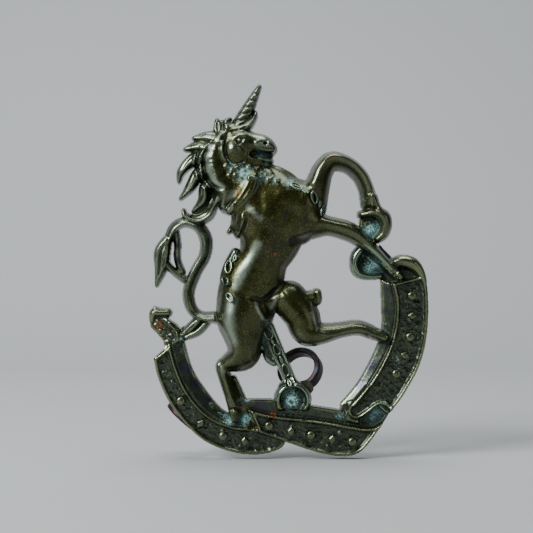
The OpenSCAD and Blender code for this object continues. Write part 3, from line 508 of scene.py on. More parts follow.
    # Throat and beard curls
    for x, z in ((-4.6, 12.1), (-3.9, 11.6), (-3.2, 12.0), (-2.5, 11.5), (-1.8, 12.0), (-1.2, 11.4),
                 (-0.6, 11.9),
                 (-0.1, 11.3), (-3.5, 11.0), (-2.6, 10.8), (-1.8, 10.7), (-1.0, 10.8), (0.3, 10.9),
                 (1.0, 10.7),
                 (-4.2, 11.0), (-0.3, 10.6), (0.6, 10.4), (1.6, 10.4)):
        die.spot(x, z, 0.32, -0.3)
        die.spot(x + 0.05, z - 0.05, 0.12, 0.3)
    die.line([(0.2, 12.0), (0.7, 11.6), (1.1, 11.2)], 0.12, -0.3)
    # Collar's edges and points
    die.line([(-0.75, 10.9), (-1.35, 9.2), (-2.5, 7.5), (-3.9, 6.2)], 0.1, -0.16)
    die.line([(-1.3, 10.9), (-1.9, 9.4), (-3, 7.8), (-4.3, 6.6)], 0.22, 0.18)
    # Shoulder locks
    die.line([(-3.0, 6.2), (-3.3, 5.0), (-3.8, 4.1)], 0.14, 0.5)
    die.line([(-2.2, 6.2), (-2.3, 5.0), (-2.9, 3.7)], 0.12, 0.3)
    die.line([(-2.7, 6), (-2.75, 4.8), (-3.2, 3.7)], 0.16, -0.25)
    # Trunk: chest, ribs, belly and flank
    die.line([(-1.1, 10.0), (-0.4, 7.4), (-0.9, 4.2), (-1.9, 2.2)], 0.6, 0.12)
    die.line([(3.0, 2.6), (4.4, 3.0), (6.2, 3.3)], 0.5, 0.5)
    die.line([(-1.9, -4.0), (-0.3, -4.5), (0.9, -3.8), (2.4, -2.5)], 0.35, 0.5)
    die.line([(-1.0, -4.9), (-0.5, -6.0), (0.3, -7.3)], 0.28, -0.3)
    die.line([(0.2, -4.9), (0.8, -6.2), (1.3, -7.4)], 0.2, 0.3)
    die.line([(-5.6, -3.6), (-6.0, -5.6), (-5.7, -8.2), (-4.9, -10.2)], 0.22, 0.25)
    # Near foreleg: the upper arm's ridge, knee, fetlock
    die.line([(6.0, 9.3), (6.7, 11.0), (7.7, 13.0)], 0.12, -0.2)
    die.line([(12.9, 8.75), (13.5, 8.95), (14.1, 8.85)], 0.12, 0.35)
    die.line([(12.6, 7.3), (13.4, 7.0), (14.2, 7.1)], 0.12, 0.3)
    die.line([(12.1, 5.95), (12.9, 6.2), (13.6, 6.05)], 0.1, -0.15)
    # Far foreleg's ridge and hoof
    die.line([(11.4, 4.0), (12.4, 3.2), (13.6, 2.2), (15, 0.9), (16.2, -0.3)], 0.12, -0.15)
    die.line([(16.0, -1.5), (16.5, -1.0), (16.9, -0.6)], 0.1, 0.3)
    # Channels under the chains
    die.line([(0.2, -7.6), (1.5, -10.6), (2.6, -13), (3.3, -15)], 0.5, 0.4, fade=False, sharp=4)
    # Hind legs
    die.line([(5.9, -4.5), (6.2, -6.2), (6.7, -8.0)], 0.14, -0.2)
    die.line([(6.3, -8.3), (8.6, -8.9), (11.5, -8.6), (13.4, -9)], 0.2, -0.15)
    die.line([(12.6, -8.6), (13.1, -9.1), (13.2, -9.6)], 0.1, 0.4)
    die.line([(6.4, -3.4), (6.5, -4.1), (6.6, -4.9)], 0.2, 0.4)
    die.line([(-5.0, -13.8), (-4.6, -15.4), (-4.1, -17.2)], 0.2, -0.12)
    die.line([(-4.4, -18.2), (-3.6, -18.0), (-2.9, -18.2)], 0.12, 0.4)
    die.line([(-5.6, -12.2), (-4.9, -12.9), (-4.1, -13.2)], 0.3, 0.15)
    # Brush and lower fork of the tail
    die.line([(-12.4, 2.6), (-12.9, 1.4), (-13.1, 0), (-13.3, -1.5)], 0.16, 0.4)
    die.line([(-12.0, 2.4), (-12.1, 1.0), (-12.4, -0.2), (-13.0, -1.4)], 0.12, -0.2)
    die.line([(-12.7, 2.8), (-13.5, 1.6), (-13.6, 0.2), (-13.5, -1.6)], 0.12, -0.15)
    die.line([(-8.6, -7.4), (-9.3, -8.1), (-9.9, -8.7)], 0.1, 0.3)
    die.line([(-7.4, -7.6), (-8.4, -8.6), (-9.6, -9.1)], 0.1, 0.25)


# Depth and size of each layer of texture: the scroll's stippled ground, its broken left end, and the skin
STIPPLE, BROKEN, SKIN = ((0.03, 0.07), (0.03, 0.16)), ((0.07, 0.09),), ((0.004, 0.12), (0.014, 0.6))
# The highest ground that is stippled, and how softly the outline is rounded
STIPPLED_TO, OUTLINE_SOFT = 1.45, 0.12


def texture(die, layers):
    return sum(depth * die.grain(size) for depth, size in layers)


def finish_relief(die):
    """Stippled grounds, uneven casting skin, and the soft edges of a worn strike."""
    ground = np.zeros(die.x.shape, bool)
    for a, b in ((LEFT_OUTER, LEFT_INNER), (CENTRE_TOP, CENTRE_FOOT), (RIGHT_OUTER, RIGHT_INNER)):
        w = die.window(list(a) + list(b), 0)
        ground[w] |= inside(between(a, b), die.x[w], die.z[w])
    flat = ground & (die.relief < STIPPLED_TO)
    die.relief += np.where(flat, texture(die, STIPPLE), 0)
    rough = inside(np.array(LEFT_END), die.x, die.z)
    die.relief += np.where(rough, texture(die, BROKEN), 0)
    die.relief += np.where(die.relief > 0, texture(die, SKIN), 0)
    body = die.soften((die.owner >= 0) * 1.0, OUTLINE_SOFT)
    die.spread(10)
    die.relief = np.maximum(die.soften(die.relief, 0.05) - 0.9 * np.clip(0.86 - body, 0, 1) ** 2, LEAST)


# ---- Finish maps: the spots of each are x, z, reach, strength ----

GREEN = [(-2.5, 11.3, 1.5, 0.9), (0.2, 10.8, 1.2, 0.8), (-0.4, 13.6, 1, 0.8), (3.2, 10, 1.2, 0.9),
         (4.9, 9.2, 0.9, 0.8), (-4.2, 12, 1, 0.8), (-3.3, 10.7, 1, 0.7), (-1, 10.6, 1, 0.8),
         (1.4, 10.4, 1, 0.8), (2.8, 9.9, 0.8, 0.7), (0.4, 12.6, 0.5, 0.8), (7, 7, 1, 0.6),
         (13.3, 4.4, 1.2, 1), (12.6, 8, 0.7, 0.7), (8.2, 6.2, 1.2, 0.5), (13.3, -0.6, 1.3, 0.8),
         (3.5, -17.1, 1.6, 1),
         (0.3, -9.6, 1, 0.55), (1, -12, 1, 0.5), (1.4, -8, 0.8, 0.8), (2.6, -14, 0.9, 0.4),
         (-2.6, -15.5, 0.8, 0.8),
         (-2.2, -17, 0.8, 0.9), (13.6, -19.2, 1.2, 0.9), (11.4, 8, 0.5, 0.5), (-10.5, -9.4, 0.7, 0.9),
         (-10.2, -10.8, 0.6, 0.8), (-2.9, -17, 0.8, 0.7), (-2.4, -19.4, 1, 1), (-5, -18.8, 1, 0.7),
         (-6.5, -17.6, 0.6, 0.7), (-4.4, -19.6, 0.8, 1), (14, -18.6, 1.2, 0.9), (18.2, -6, 1.6, 0.4),
         (18, -9, 1.6, 0.4), (16.8, -12.4, 1.6, 0.45),
         (9.4, -18.8, 0.9, 0.8), (15, -7.8, 0.8, 0.5), (15.1, -4, 0.5, 0.5), (0.8, -7.4, 0.8, 0.7),
         (-1.2, -12.9, 0.7, 0.6), (-3, -14, 0.8, 0.6), (12.6, -8, 0.8, 0.5), (-12.6, -6.9, 0.5, 0.5)]
PLUM = [(13.4, -12.6, 1, 0.8), (12, -15, 1, 0.8), (-10.9, 2.4, 0.7, 0.8), (-10.9, 0.4, 0.7, 0.8),
        (-9.6, -13, 1, 0.9), (-8.4, -15, 1, 0.9), (-7, -16.8, 1, 0.8), (-0.5, -17.6, 1.4, 0.7),
        (10.6, 11.6, 1, 0.5),
        (15.3, -3, 0.8, 0.6), (15.2, -6, 0.8, 0.6), (12, -16, 1.2, 0.5), (-8.2, -3.5, 1, 0.5),
        (14.9, 1.6, 0.8, 0.7),
        (-11.5, 0, 0.8, 0.5), (-2.4, 10.9, 1, 0.3), (10, -7.5, 1.2, 0.5)]
COPPER = [(1.4, 1.2, 0.32, 0.8), (-3.05, 8.9, 0.32, 0.8), (8.5, 13.4, 0.5, 0.6), (1.1, -18.95, 0.5, 1),
          (0.2, -18.8, 0.35, 0.5), (-13.1, -7.6, 0.8, 0.7), (-12, -8.8, 0.6, 0.4), (-11.6, -1.4, 0.5, 0.5)]


# Pale streaks along the high places, part rubbed metal and part painted highlight: the line, its reach, its
# strength
RUB_AND_HIGHLIGHT_STREAKS = [([(-4, -4.6), (-4.3, -6.2), (-4.4, -7.8), (-4, -9.4)], 0.9, 0.85),
          ([(-0.8, 2.4), (-1.5, 1), (-2.4, -0.8), (-3.4, -2.8)], 0.65, 0.85),
          ([(-2, 7.1), (-1.3, 6.4), (-0.4, 5.6)], 0.5, 0.6),
          ([(-6.6, 14.6), (-7.1, 13.2), (-6.9, 11.6), (-6.2, 10.3), (-5.2, 9.6)], 0.5, 0.8),
          ([(-4.3, 8.1), (-3.7, 9)], 0.45, 0.6), ([(-1, -4.9), (-0.5, -6), (0.3, -7.3)], 0.3, 0.85),
          ([(5.9, -4.8), (6.2, -6.2), (6.6, -8)], 0.3, 0.7), ([(-5.4, -12.6), (-5.1, -13.4)], 0.4, 0.6),
          ([(0.9, -5.4), (1.5, -4.2)], 0.35, 0.5)]
# Painted shade: dark spots under the belly, the forelegs, the haunches and a hoof, where shade falls, added
# to the hollows map: x, z, reach, strength
PAINTED_SHADE_SPOTS = [(1.6, 2.2, 1.4, 0.45), (3.9, 2.8, 0.8, 0.9), (5.6, 3.4, 0.7, 0.8), (7.2, 3.9, 0.6, 0.6),
        (-0.9, -4.1, 0.5, 0.8),
        (0.5, -4.3, 0.5, 0.8), (-3.4, -19.1, 0.75, 1), (2.2, -6.6, 0.8, 0.8), (3.4, -7.2, 0.8, 0.7),
        (-3.3, -13.3, 0.6, 0.8), (-2, -12.4, 0.6, 0.6), (5.9, -10, 0.8, 0.8), (12.6, -13.6, 1.1, 0.6),
        (14, -11.4, 0.9, 0.5), (2.4, 6.2, 1.6, 0.3), (0.6, -1, 1.6, 0.2)]


# What stands proud of the die by this much is worn as a high place, and how hollow and stained the back is
PROUD_BY, BACK_HOLLOW, BACK_STAIN = 0.06, 0.1, 0.5


class Finish:
    """Maps of hollows, worn places and stains, read from the die, with painted shade added to the hollows and
    pale streaks that are part rubbed metal, part painted highlight.
    """

    def __init__(self, die):
        self.die = die
        fine, broad = die.soften(die.relief, 0.18), die.soften(die.relief, 0.6)
        self.hollow_and_shade = (np.clip((fine - die.relief) / 0.07, -1, 1) * 0.5
                       + np.clip((broad - die.relief) / 0.5, -1, 1) * 0.5)
        # The painted shade spots are added to the hollows map, so they darken as its soot does
        self.hollow_and_shade = np.clip(self.hollow_and_shade + self.stain(PAINTED_SHADE_SPOTS), -1, 1)
        self.green, self.plum, self.copper = (self.stain(spots) for spots in (GREEN, PLUM, COPPER))
        # Pale streaks: part rubbed metal, part painted highlight
        self.rub_and_highlight = self.streak_map(RUB_AND_HIGHLIGHT_STREAKS)

    def stain(self, spots):
        """A map of round spots that fade outwards."""
        total = np.zeros(self.die.x.shape)
        for x, z, reach, strength in spots:
            w = self.die.window([(x, z)], reach * 2.5)
            d2 = (self.die.x[w] - x) ** 2 + (self.die.z[w] - z) ** 2
            total[w] = np.maximum(total[w], strength * np.exp(-d2 / reach ** 2))
        return total

    def streak_map(self, streaks):
        """A map of streaks that fade sideways."""
        total = np.zeros(self.die.x.shape)
        for line, reach, strength in streaks:
            w = self.die.window(line, reach * 2.5)
            d = along(flowing(line), self.die.x[w], self.die.z[w])[0]
            total[w] = np.maximum(total[w], strength * np.exp(-(d / reach) ** 2))
        return total

    def paint(self, mesh):
        """Writes the maps to a finished mesh, in metres, as attributes of its points."""
        count = len(mesh.vertices)
        co, normal = np.empty(count * 3), np.empty(count * 3)
        mesh.vertices.foreach_get("co", co)
        mesh.vertices.foreach_get("normal", normal)
        co, normal = co.reshape(-1, 3) / MM, normal.reshape(-1, 3)
        x, z = co[:, 0], co[:, 2]
        front = np.clip(-normal[:, 1] * 1.6, 0, 1)
        proud = -co[:, 1] - self.die.read(self.die.relief, x, z) > PROUD_BY
        # The hollows map carries the painted shade spots as well
        hollow_and_shade = self.die.read(self.hollow_and_shade, x, z) * front + BACK_HOLLOW * (1 - front)
        values = {"hollow_and_shade": np.where(proud, 0.3 - 0.72 * front, hollow_and_shade)}
        for name, stains in (("green", self.green), ("plum", self.plum), ("copper", self.copper)):
            values[name] = self.die.read(stains, x, z) * np.clip(front + BACK_STAIN, 0, 1)
        values["rub_and_highlight"] = self.die.read(self.rub_and_highlight, x, z) * front
        for name, here in values.items():
            mesh.attributes.new(name, "FLOAT", "POINT").data.foreach_set("value", here.astype(np.float32))


# ---- Striking and parting ----

def to_object(bm, name):
    bmesh.ops.recalc_face_normals(bm, faces=bm.faces)
    mesh = bpy.data.meshes.new(name)
    bm.to_mesh(mesh)
    bm.free()
    made = bpy.data.objects.new(name, mesh)
    bpy.context.scene.collection.objects.link(made)
    return made


class Strike:
    """The struck front as a net of points, one at each corner of the die's cells."""

    def __init__(self, die):
        self.die = die
        self.soft = [die.soften((die.owner == k) * 1.0, 0.07) for k in range(-1, len(PARTING))]
        self.owner = np.argmax(self.soft, axis=0) - 1
        self.uncross()
        self.net = self.place()
        self.relax(3)
        self.body = die.soften((self.owner >= 0) * 1.0, OUTLINE_SOFT)
        self.back = -0.03 * np.abs(die.grain(0.25)) - 0.03 * np.abs(die.grain(0.9))

    def uncross(self):
        """Cells of a piece never touch by a corner alone."""
        o = self.owner
        for _ in range(6):
            a, b, c, d = o[:-1, :-1], o[:-1, 1:], o[1:, :-1], o[1:, 1:]
            one, two = (a == d) & (a != b) & (a != c), (b == c) & (b != a) & (b != d)
            a[one] = b[one]
            b[two & ~one] = a[two & ~one]

    def place(self):
        """Puts the points on the borders of the pieces and at the die's height."""
        die = self.die
        pad = np.pad(self.owner, 1, constant_values=-1)
        around = np.array([pad[:-1, :-1], pad[:-1, 1:], pad[1:, :-1], pad[1:, 1:]])
        lowest, highest = around.min(0), around.max(0)
        self.solid, self.rim = highest >= 0, (lowest < 0) & (highest >= 0)
        x, z = np.meshgrid(*(die.low[i] + (np.arange(lowest.shape[1 - i]) - 0.5) * die.pitch for i in (0, 1)))
        for k in range(-1, len(PARTING)):
            border = (lowest == k) & (highest != k)
            if border.any():
                field = 1 - self.soft[0] if k < 0 else self.soft[k + 1]
                x[border], z[border] = self.settle(field, x[border], z[border])
        return np.stack([x, -die.read(die.relief, x, z), z], axis=-1)

    def settle(self, field, x, z):
        """Moves points to where a soft border is halfway."""
        step, read = self.die.pitch * 0.6, self.die.read
        x0, z0 = x, z
        for _ in range(4):
            gx = (read(field, x + step, z) - read(field, x - step, z)) / (2 * step)
            gz = (read(field, x, z + step) - read(field, x, z - step)) / (2 * step)
            move = (0.5 - read(field, x, z)) / np.maximum(gx * gx + gz * gz, 0.3)
            x, z = x + np.clip(move * gx, -step, step), z + np.clip(move * gz, -step, step)
            x, z = np.clip(x, x0 - 1.6 * step, x0 + 1.6 * step), np.clip(z, z0 - 1.6 * step, z0 + 1.6 * step)
        return x, z

    def relax(self, rounds):
        """Evens the skin. Points on the outline keep their place and only even their height."""
        solid = self.solid[..., None] * 1.0
        for _ in range(rounds):
            total, count = np.zeros(self.net.shape), np.zeros(solid.shape)
            for axis in (0, 1):
                for way in (-1, 1):
                    total += np.roll(self.net * solid, way, axis)
                    count += np.roll(solid, way, axis)
            moved = (self.net + total / np.maximum(count, 1)) / 2
            moved[self.rim, 0], moved[self.rim, 2] = self.net[self.rim, 0], self.net[self.rim, 2]
            self.net = np.where(solid > 0, moved, self.net)

    def part(self, name):
        """One piece of the struck metal, from its front to the back plane."""
        mine = self.owner == PARTING.index(name)
        rows, cols = np.where(mine)
        j0, j1, i0, i1 = rows.min(), rows.max() + 1, cols.min(), cols.max() + 1
        bm = bmesh.new()
        bmesh.ops.create_grid(bm, x_segments=i1 - i0, y_segments=j1 - j0, size=1)
        for v, place in zip(bm.verts, self.net[j0:j1 + 1, i0:i1 + 1].reshape(-1, 3)):
            v.co = place
        spare = [f for f, kept in zip(bm.faces, mine[j0:j1, i0:i1].ravel()) if not kept]
        bmesh.ops.delete(bm, geom=spare, context="FACES")
        outline = [e for e in bm.edges if e.is_boundary]
        back = bmesh.ops.extrude_face_region(bm, geom=bm.faces[:])["geom"]
        back = [v for v in back if isinstance(v, bmesh.types.BMVert)]
        self.flatten(back)
        for e in outline:
            for f in e.link_faces:
                if any(abs(v.co.y) < 0.1 for v in f.verts):
                    for side in f.edges:
                        side.smooth = abs(side.verts[0].co.y - side.verts[1].co.y) > 0.3
        return to_object(bm, name)

    def flatten(self, back):
        """Lays points on the back plane, spread by the die's draft."""
        x, z = np.array([v.co.x for v in back]), np.array([v.co.z for v in back])
        body, step, read = self.body, 0.08, self.die.read
        gx = read(body, x + step, z) - read(body, x - step, z)
        gz = read(body, x, z + step) - read(body, x, z - step)
        steep = np.maximum(np.hypot(gx, gz), 1e-3)
        out = DRAFT * np.clip(steep / 0.3, 0, 1) / steep
        for v, dx, dz, y in zip(back, -gx * out, -gz * out, read(self.back, x, z)):
            v.co = (v.co.x + dx, y, v.co.z + dz)


# ---- Small separate pieces ----

# Links: x, z, turn in degrees, length, width
BACK_LINKS = [(-3.6, 0.75, -30, 1.0, 0.6), (-4.4, -0.35, -28, 1.85, 1.2), (-4.8, -2.05, 8, 1.8, 1.1),
              (-4.24, -4.1, 14, 1.5, 0.95)]
CHEST_LINKS = [(4.0, 9.6, 70, 1.8, 1.1), (5.1, 8.95, 60, 1.1, 0.5), (6.2, 8.2, 55, 1.8, 1.05),
               (6.9, 7.4, 45, 0.9, 0.45), (7.35, 6.65, 30, 1.7, 1.1)]
HIND_LINKS = [(0.55, -8.7, 25, 1.7, 1.25), (1.6, -10.7, 20, 1.6, 1.05), (2.7, -13.3, 14, 1.8, 1.1),
              (3.2, -14.9, 12, 1.2, 0.6), (1.05, -9.7, 25, 0.9, 0.45), (2.15, -12, 20, 1.1, 0.5)]


def added(bm, older):
    """The points made since the set of older ones was taken."""
    return [v for v in bm.verts if v not in older]


def link(bm, die, x, z, turn, length, width, wire=0.29):
    """A chain link, half sunk in the metal and tilted with it."""
    step, loop_r, proud = 0.4, 0.5, 0.08
    h = die.read(die.relief, np.array([x, x + step, x - step, x, x]), np.array([z, z, z, z + step, z - step]))
    normal = Vector((-(h[1] - h[2]) / (2 * step), -1, -(h[3] - h[4]) / (2 * step))).normalized()
    older = set(bm.verts)
    across = Matrix.Translation((loop_r, 0, 0)) @ Matrix.Rotation(math.pi / 2, 4, "X")
    section = bmesh.ops.create_circle(bm, segments=8, radius=wire / 2, matrix=across)["verts"]
    edges = list({e for v in section for e in v.link_edges})
    bmesh.ops.spin(bm, geom=section + edges, cent=(0, 0, 0), axis=(0, 0, 1), angle=2 * math.pi, steps=28,
                   use_merge=True, use_duplicate=False)
    loop = added(bm, older)
    for v in loop:
        radial = Vector((v.co.x, v.co.y)).normalized()
        out = Vector((v.co.x, v.co.y)).length - loop_r
        v.co.x = radial.x * (width - wire) / 2 + radial.x * out
        v.co.y = radial.y * (length - wire) / 2 + radial.y * out
    lean = Vector((0, 0, 1)).rotation_difference(normal).to_matrix().to_4x4()
    spin = Matrix.Rotation(math.radians(turn), 4, "Z")
    place = Matrix.Translation((x, -float(h.max()) - proud, z)) @ lean @ spin
    bmesh.ops.transform(bm, matrix=place, verts=loop)


def chain(die, name, links):
    bm = bmesh.new()
    for values in links:
        link(bm, die, *values)
    return to_object(bm, name)


def middle(a, b, share):
    """The place midway between two edges at a share of their run, and the way they run there."""
    p, q = flowing(a), flowing(b)
    i, j = round(share * (len(p) - 2)), round(share * (len(q) - 2))
    return (p[i] + q[j]) / 2, (p[i + 1] + q[j + 1] - p[i] - q[j]) / 2


def ornaments(name, outer, inner, shares):
    """Raised round pellets and lozenges by turns, with worn shoulders."""
    foot, height, taper, slim = -1.2, 0.75, 0.82, 0.75
    pellet, lozenge = (24, 0.6, 0.22), (4, 0.75, 0.25)
    bm = bmesh.new()
    for i, share in enumerate(shares):
        (x, z), (dx, dz) = middle(outer, inner, share)
        sides, r, shoulder = pellet if i % 2 == 0 else lozenge
        older = set(bm.verts)
        face = bmesh.ops.create_circle(bm, cap_ends=True, segments=sides, radius=r)["verts"][0].link_faces[0]
        up = bmesh.ops.extrude_face_region(bm, geom=[face])["geom"]
        top = [v for v in up if isinstance(v, bmesh.types.BMVert)]
        bmesh.ops.translate(bm, verts=top, vec=(0, 0, height))
        for v in top:
            v.co.xy *= taper
        lid = [f for f in up if isinstance(f, bmesh.types.BMFace)]
        bmesh.ops.inset_individual(bm, faces=lid, thickness=shoulder, depth=0.1)
        body = added(bm, older)
        if sides == 4:
            for v in body:
                v.co.x *= slim
        turn = Matrix.Rotation(math.atan2(dz, dx), 4, "Z")
        place = Matrix.Translation((x, foot, z)) @ Matrix.Rotation(math.pi / 2, 4, "X") @ turn
        bmesh.ops.transform(bm, matrix=place, verts=body)
    sharp = [e for e in bm.edges if e.is_manifold and e.calc_face_angle(0) > 0.5]
    bmesh.ops.bevel(bm, geom=sharp, offset=0.06, offset_type="OFFSET", segments=2, profile=0.5,
                    affect="EDGES", clamp_overlap=True, material=-1)
    return to_object(bm, name)


# The lugs: their bore, their strip's thickness and width, and where they stand
LUG_BORE_R, LUG_STRIP, LUG_WIDTH = 2.1, 0.8, 1.75
LEFT_LUG = (Vector((-9.75, 2.9, -19.4)), Matrix.Rotation(math.radians(41), 4, "Y"))
RIGHT_LUG_AXIS = Vector((0.33, 0.82, -0.47)).normalized()
RIGHT_LUG = (Vector((4.6, 2.3804, -13.5)),
             Vector((0, 0, 1)).rotation_difference(RIGHT_LUG_AXIS).to_matrix().to_4x4())


def lug(name, place, turn, seed):
    """A ring of bent strip with rolled edges and the marks of its bending."""
    bm = bmesh.new()
    mid, half_t, half_w = LUG_BORE_R + LUG_STRIP / 2, LUG_STRIP / 2, LUG_WIDTH / 2
    corners = [(mid - half_t, -half_w), (mid + half_t, -half_w), (mid + half_t, half_w),
               (mid - half_t, half_w)]
    section = [bm.verts.new((r, 0, h)) for r, h in corners]
    for i in range(4):
        bm.edges.new((section[i], section[(i + 1) % 4]))
    bmesh.ops.bevel(bm, geom=section, offset=0.22, offset_type="OFFSET", segments=4, profile=0.5,
                    affect="VERTICES", clamp_overlap=True, material=-1)
    bmesh.ops.subdivide_edges(bm, edges=[e for e in bm.edges if e.calc_length() > 0.3], cuts=5)
    bmesh.ops.spin(bm, geom=bm.verts[:] + bm.edges[:], cent=(0, 0, 0), axis=(0, 0, 1), angle=2 * math.pi,
                   steps=120, use_merge=True, use_duplicate=False)
    bmesh.ops.remove_doubles(bm, verts=bm.verts, dist=1e-4)
    waves = np.random.default_rng(seed).uniform(0, 2 * math.pi, 6)
    for v in bm.verts:
        angle = math.atan2(v.co.y, v.co.x)
        dent = sum(math.sin((k + 2) * angle + w + v.co.z * (1 + k % 2)) for k, w in enumerate(waves)) / 6
        out = Vector((v.co.x, v.co.y, 0)).normalized()
        if Vector((v.co.x, v.co.y)).length > mid:
            v.co -= out * 0.04 * (dent + 1)
        v.co.z *= 1 - 0.02 * (dent + 1)
    bmesh.ops.transform(bm, matrix=Matrix.Translation(place) @ turn, verts=bm.verts)
    return to_object(bm, name)


def braze(name, x, z, rise, r, seed):
    """A cap of braze that has run and frozen unevenly."""
    bm = bmesh.new()
    bmesh.ops.create_icosphere(bm, subdivisions=5, radius=1)
    waves = np.random.default_rng(seed).uniform(0, 2 * math.pi, 8)
    for v in bm.verts:
        a = math.atan2(v.co.z, v.co.x)
        uneven = 1 - 0.1 * (1 + sum(math.sin((k + 2) * a + w) for k, w in enumerate(waves)) / 8)
        ripple = 0.06 * math.sin(9 * v.co.x + waves[0]) * math.sin(8 * v.co.z + waves[1])
        flat = max(v.co.y, -0.05)
        v.co = Vector((v.co.x * r * uneven, flat * rise * (0.9 + ripple), v.co.z * r * uneven))
    bmesh.ops.translate(bm, verts=bm.verts, vec=(x, 0, z))
    return to_object(bm, name)


# ---- Finishes ----

class Value:
    """A shader value. Arithmetic on it adds Math nodes."""

    def __init__(self, finish, socket):
        self.finish, self.socket = finish, socket

    def math(self, operation, other):
        return self.finish.add("Math", {0: self, 1: other}, operation=operation)

    def __add__(self, other):
        return self.math("ADD", other)

    def __sub__(self, other):
        return self.math("SUBTRACT", other)

    def __rsub__(self, other):
        return self.finish.add("Math", {0: other, 1: self}, operation="SUBTRACT")

    def __mul__(self, other):
        return self.math("MULTIPLY", other)

    __radd__, __rmul__ = __add__, __mul__

    def held(self, low=0.0, high=1.0):
        """Held between two limits."""
        return self.finish.add("Clamp", {0: self, 1: low, 2: high})

    def rising(self, low, high):
        """0 below low, 1 above high, smooth between."""
        return self.finish.add("MapRange", {0: self, 1: low, 2: high}, interpolation_type="SMOOTHSTEP")


class Paint:
    """A material's node tree."""

    def __init__(self, name):
        self.material = bpy.data.materials.new(name)
        self.material.use_nodes = True
        self.tree = self.material.node_tree
        self.tree.nodes.clear()
        place = self.add("TexCoord", output=3)
        self.point = self.add("Mapping", {0: place, 3: (1 / MM,) * 3}, vector_type="POINT")

    def add(self, kind, inputs=None, output=0, **settings):
        """Adds a node: its settings first, then the values or links of its sockets."""
        node = self.tree.nodes.new("ShaderNode" + kind)
        for key, value in settings.items():
            setattr(node, key, value)
        for key, value in (inputs or {}).items():
            if isinstance(value, Value):
                self.tree.links.new(value.socket, node.inputs[key])
            else:
                node.inputs[key].default_value = value
        return Value(self, node.outputs[output]) if node.outputs else None

    def noise(self, per_mm, detail=3, offset=0.0):
        moved = self.add("Mapping", {0: self.point, 1: (offset, offset * 1.7, -offset)}, vector_type="POINT")
        return self.add("TexNoise", {0: moved, 2: per_mm, 3: detail, 4: 0.55})

    def cells(self, per_mm):
        return self.add("TexVoronoi", {0: self.point, 2: per_mm}, feature="F1")

    def attribute(self, name):
        return self.add("Attribute", output=2, attribute_name=name)

    def mix(self, share, a, b):
        inputs = {0: share, 6: a, 7: b}
        return self.add("Mix", inputs, output=2, data_type="RGBA", blend_type="MIX")

    def finish(self, colour, metallic, roughness, height, depth, coat=0.0):
        """The surface's shader. Height is a pattern, depth its size in millimetres."""
        bump = self.add("Bump", {"Strength": 1.0, "Distance": depth * MM, "Height": height})
        shader = self.add("BsdfPrincipled", {
            "Base Color": colour, "Metallic": metallic, "Roughness": roughness, "Normal": bump,
            "Coat Weight": coat, "Coat Roughness": 0.22})
        self.add("OutputMaterial", {0: shader})
        return self.material


def rgb(r, g, b):
    """A colour given in 0 to 255 as it shows, in the linear values of a shader."""
    return tuple(((c / 255 + 0.055) / 1.055) ** 2.4 if c > 10 else c / 255 / 12.92
                 for c in (r, g, b)) + (1.0,)


def darker(colour, share):
    return tuple(share * c for c in colour[:3]) + (1.0,)


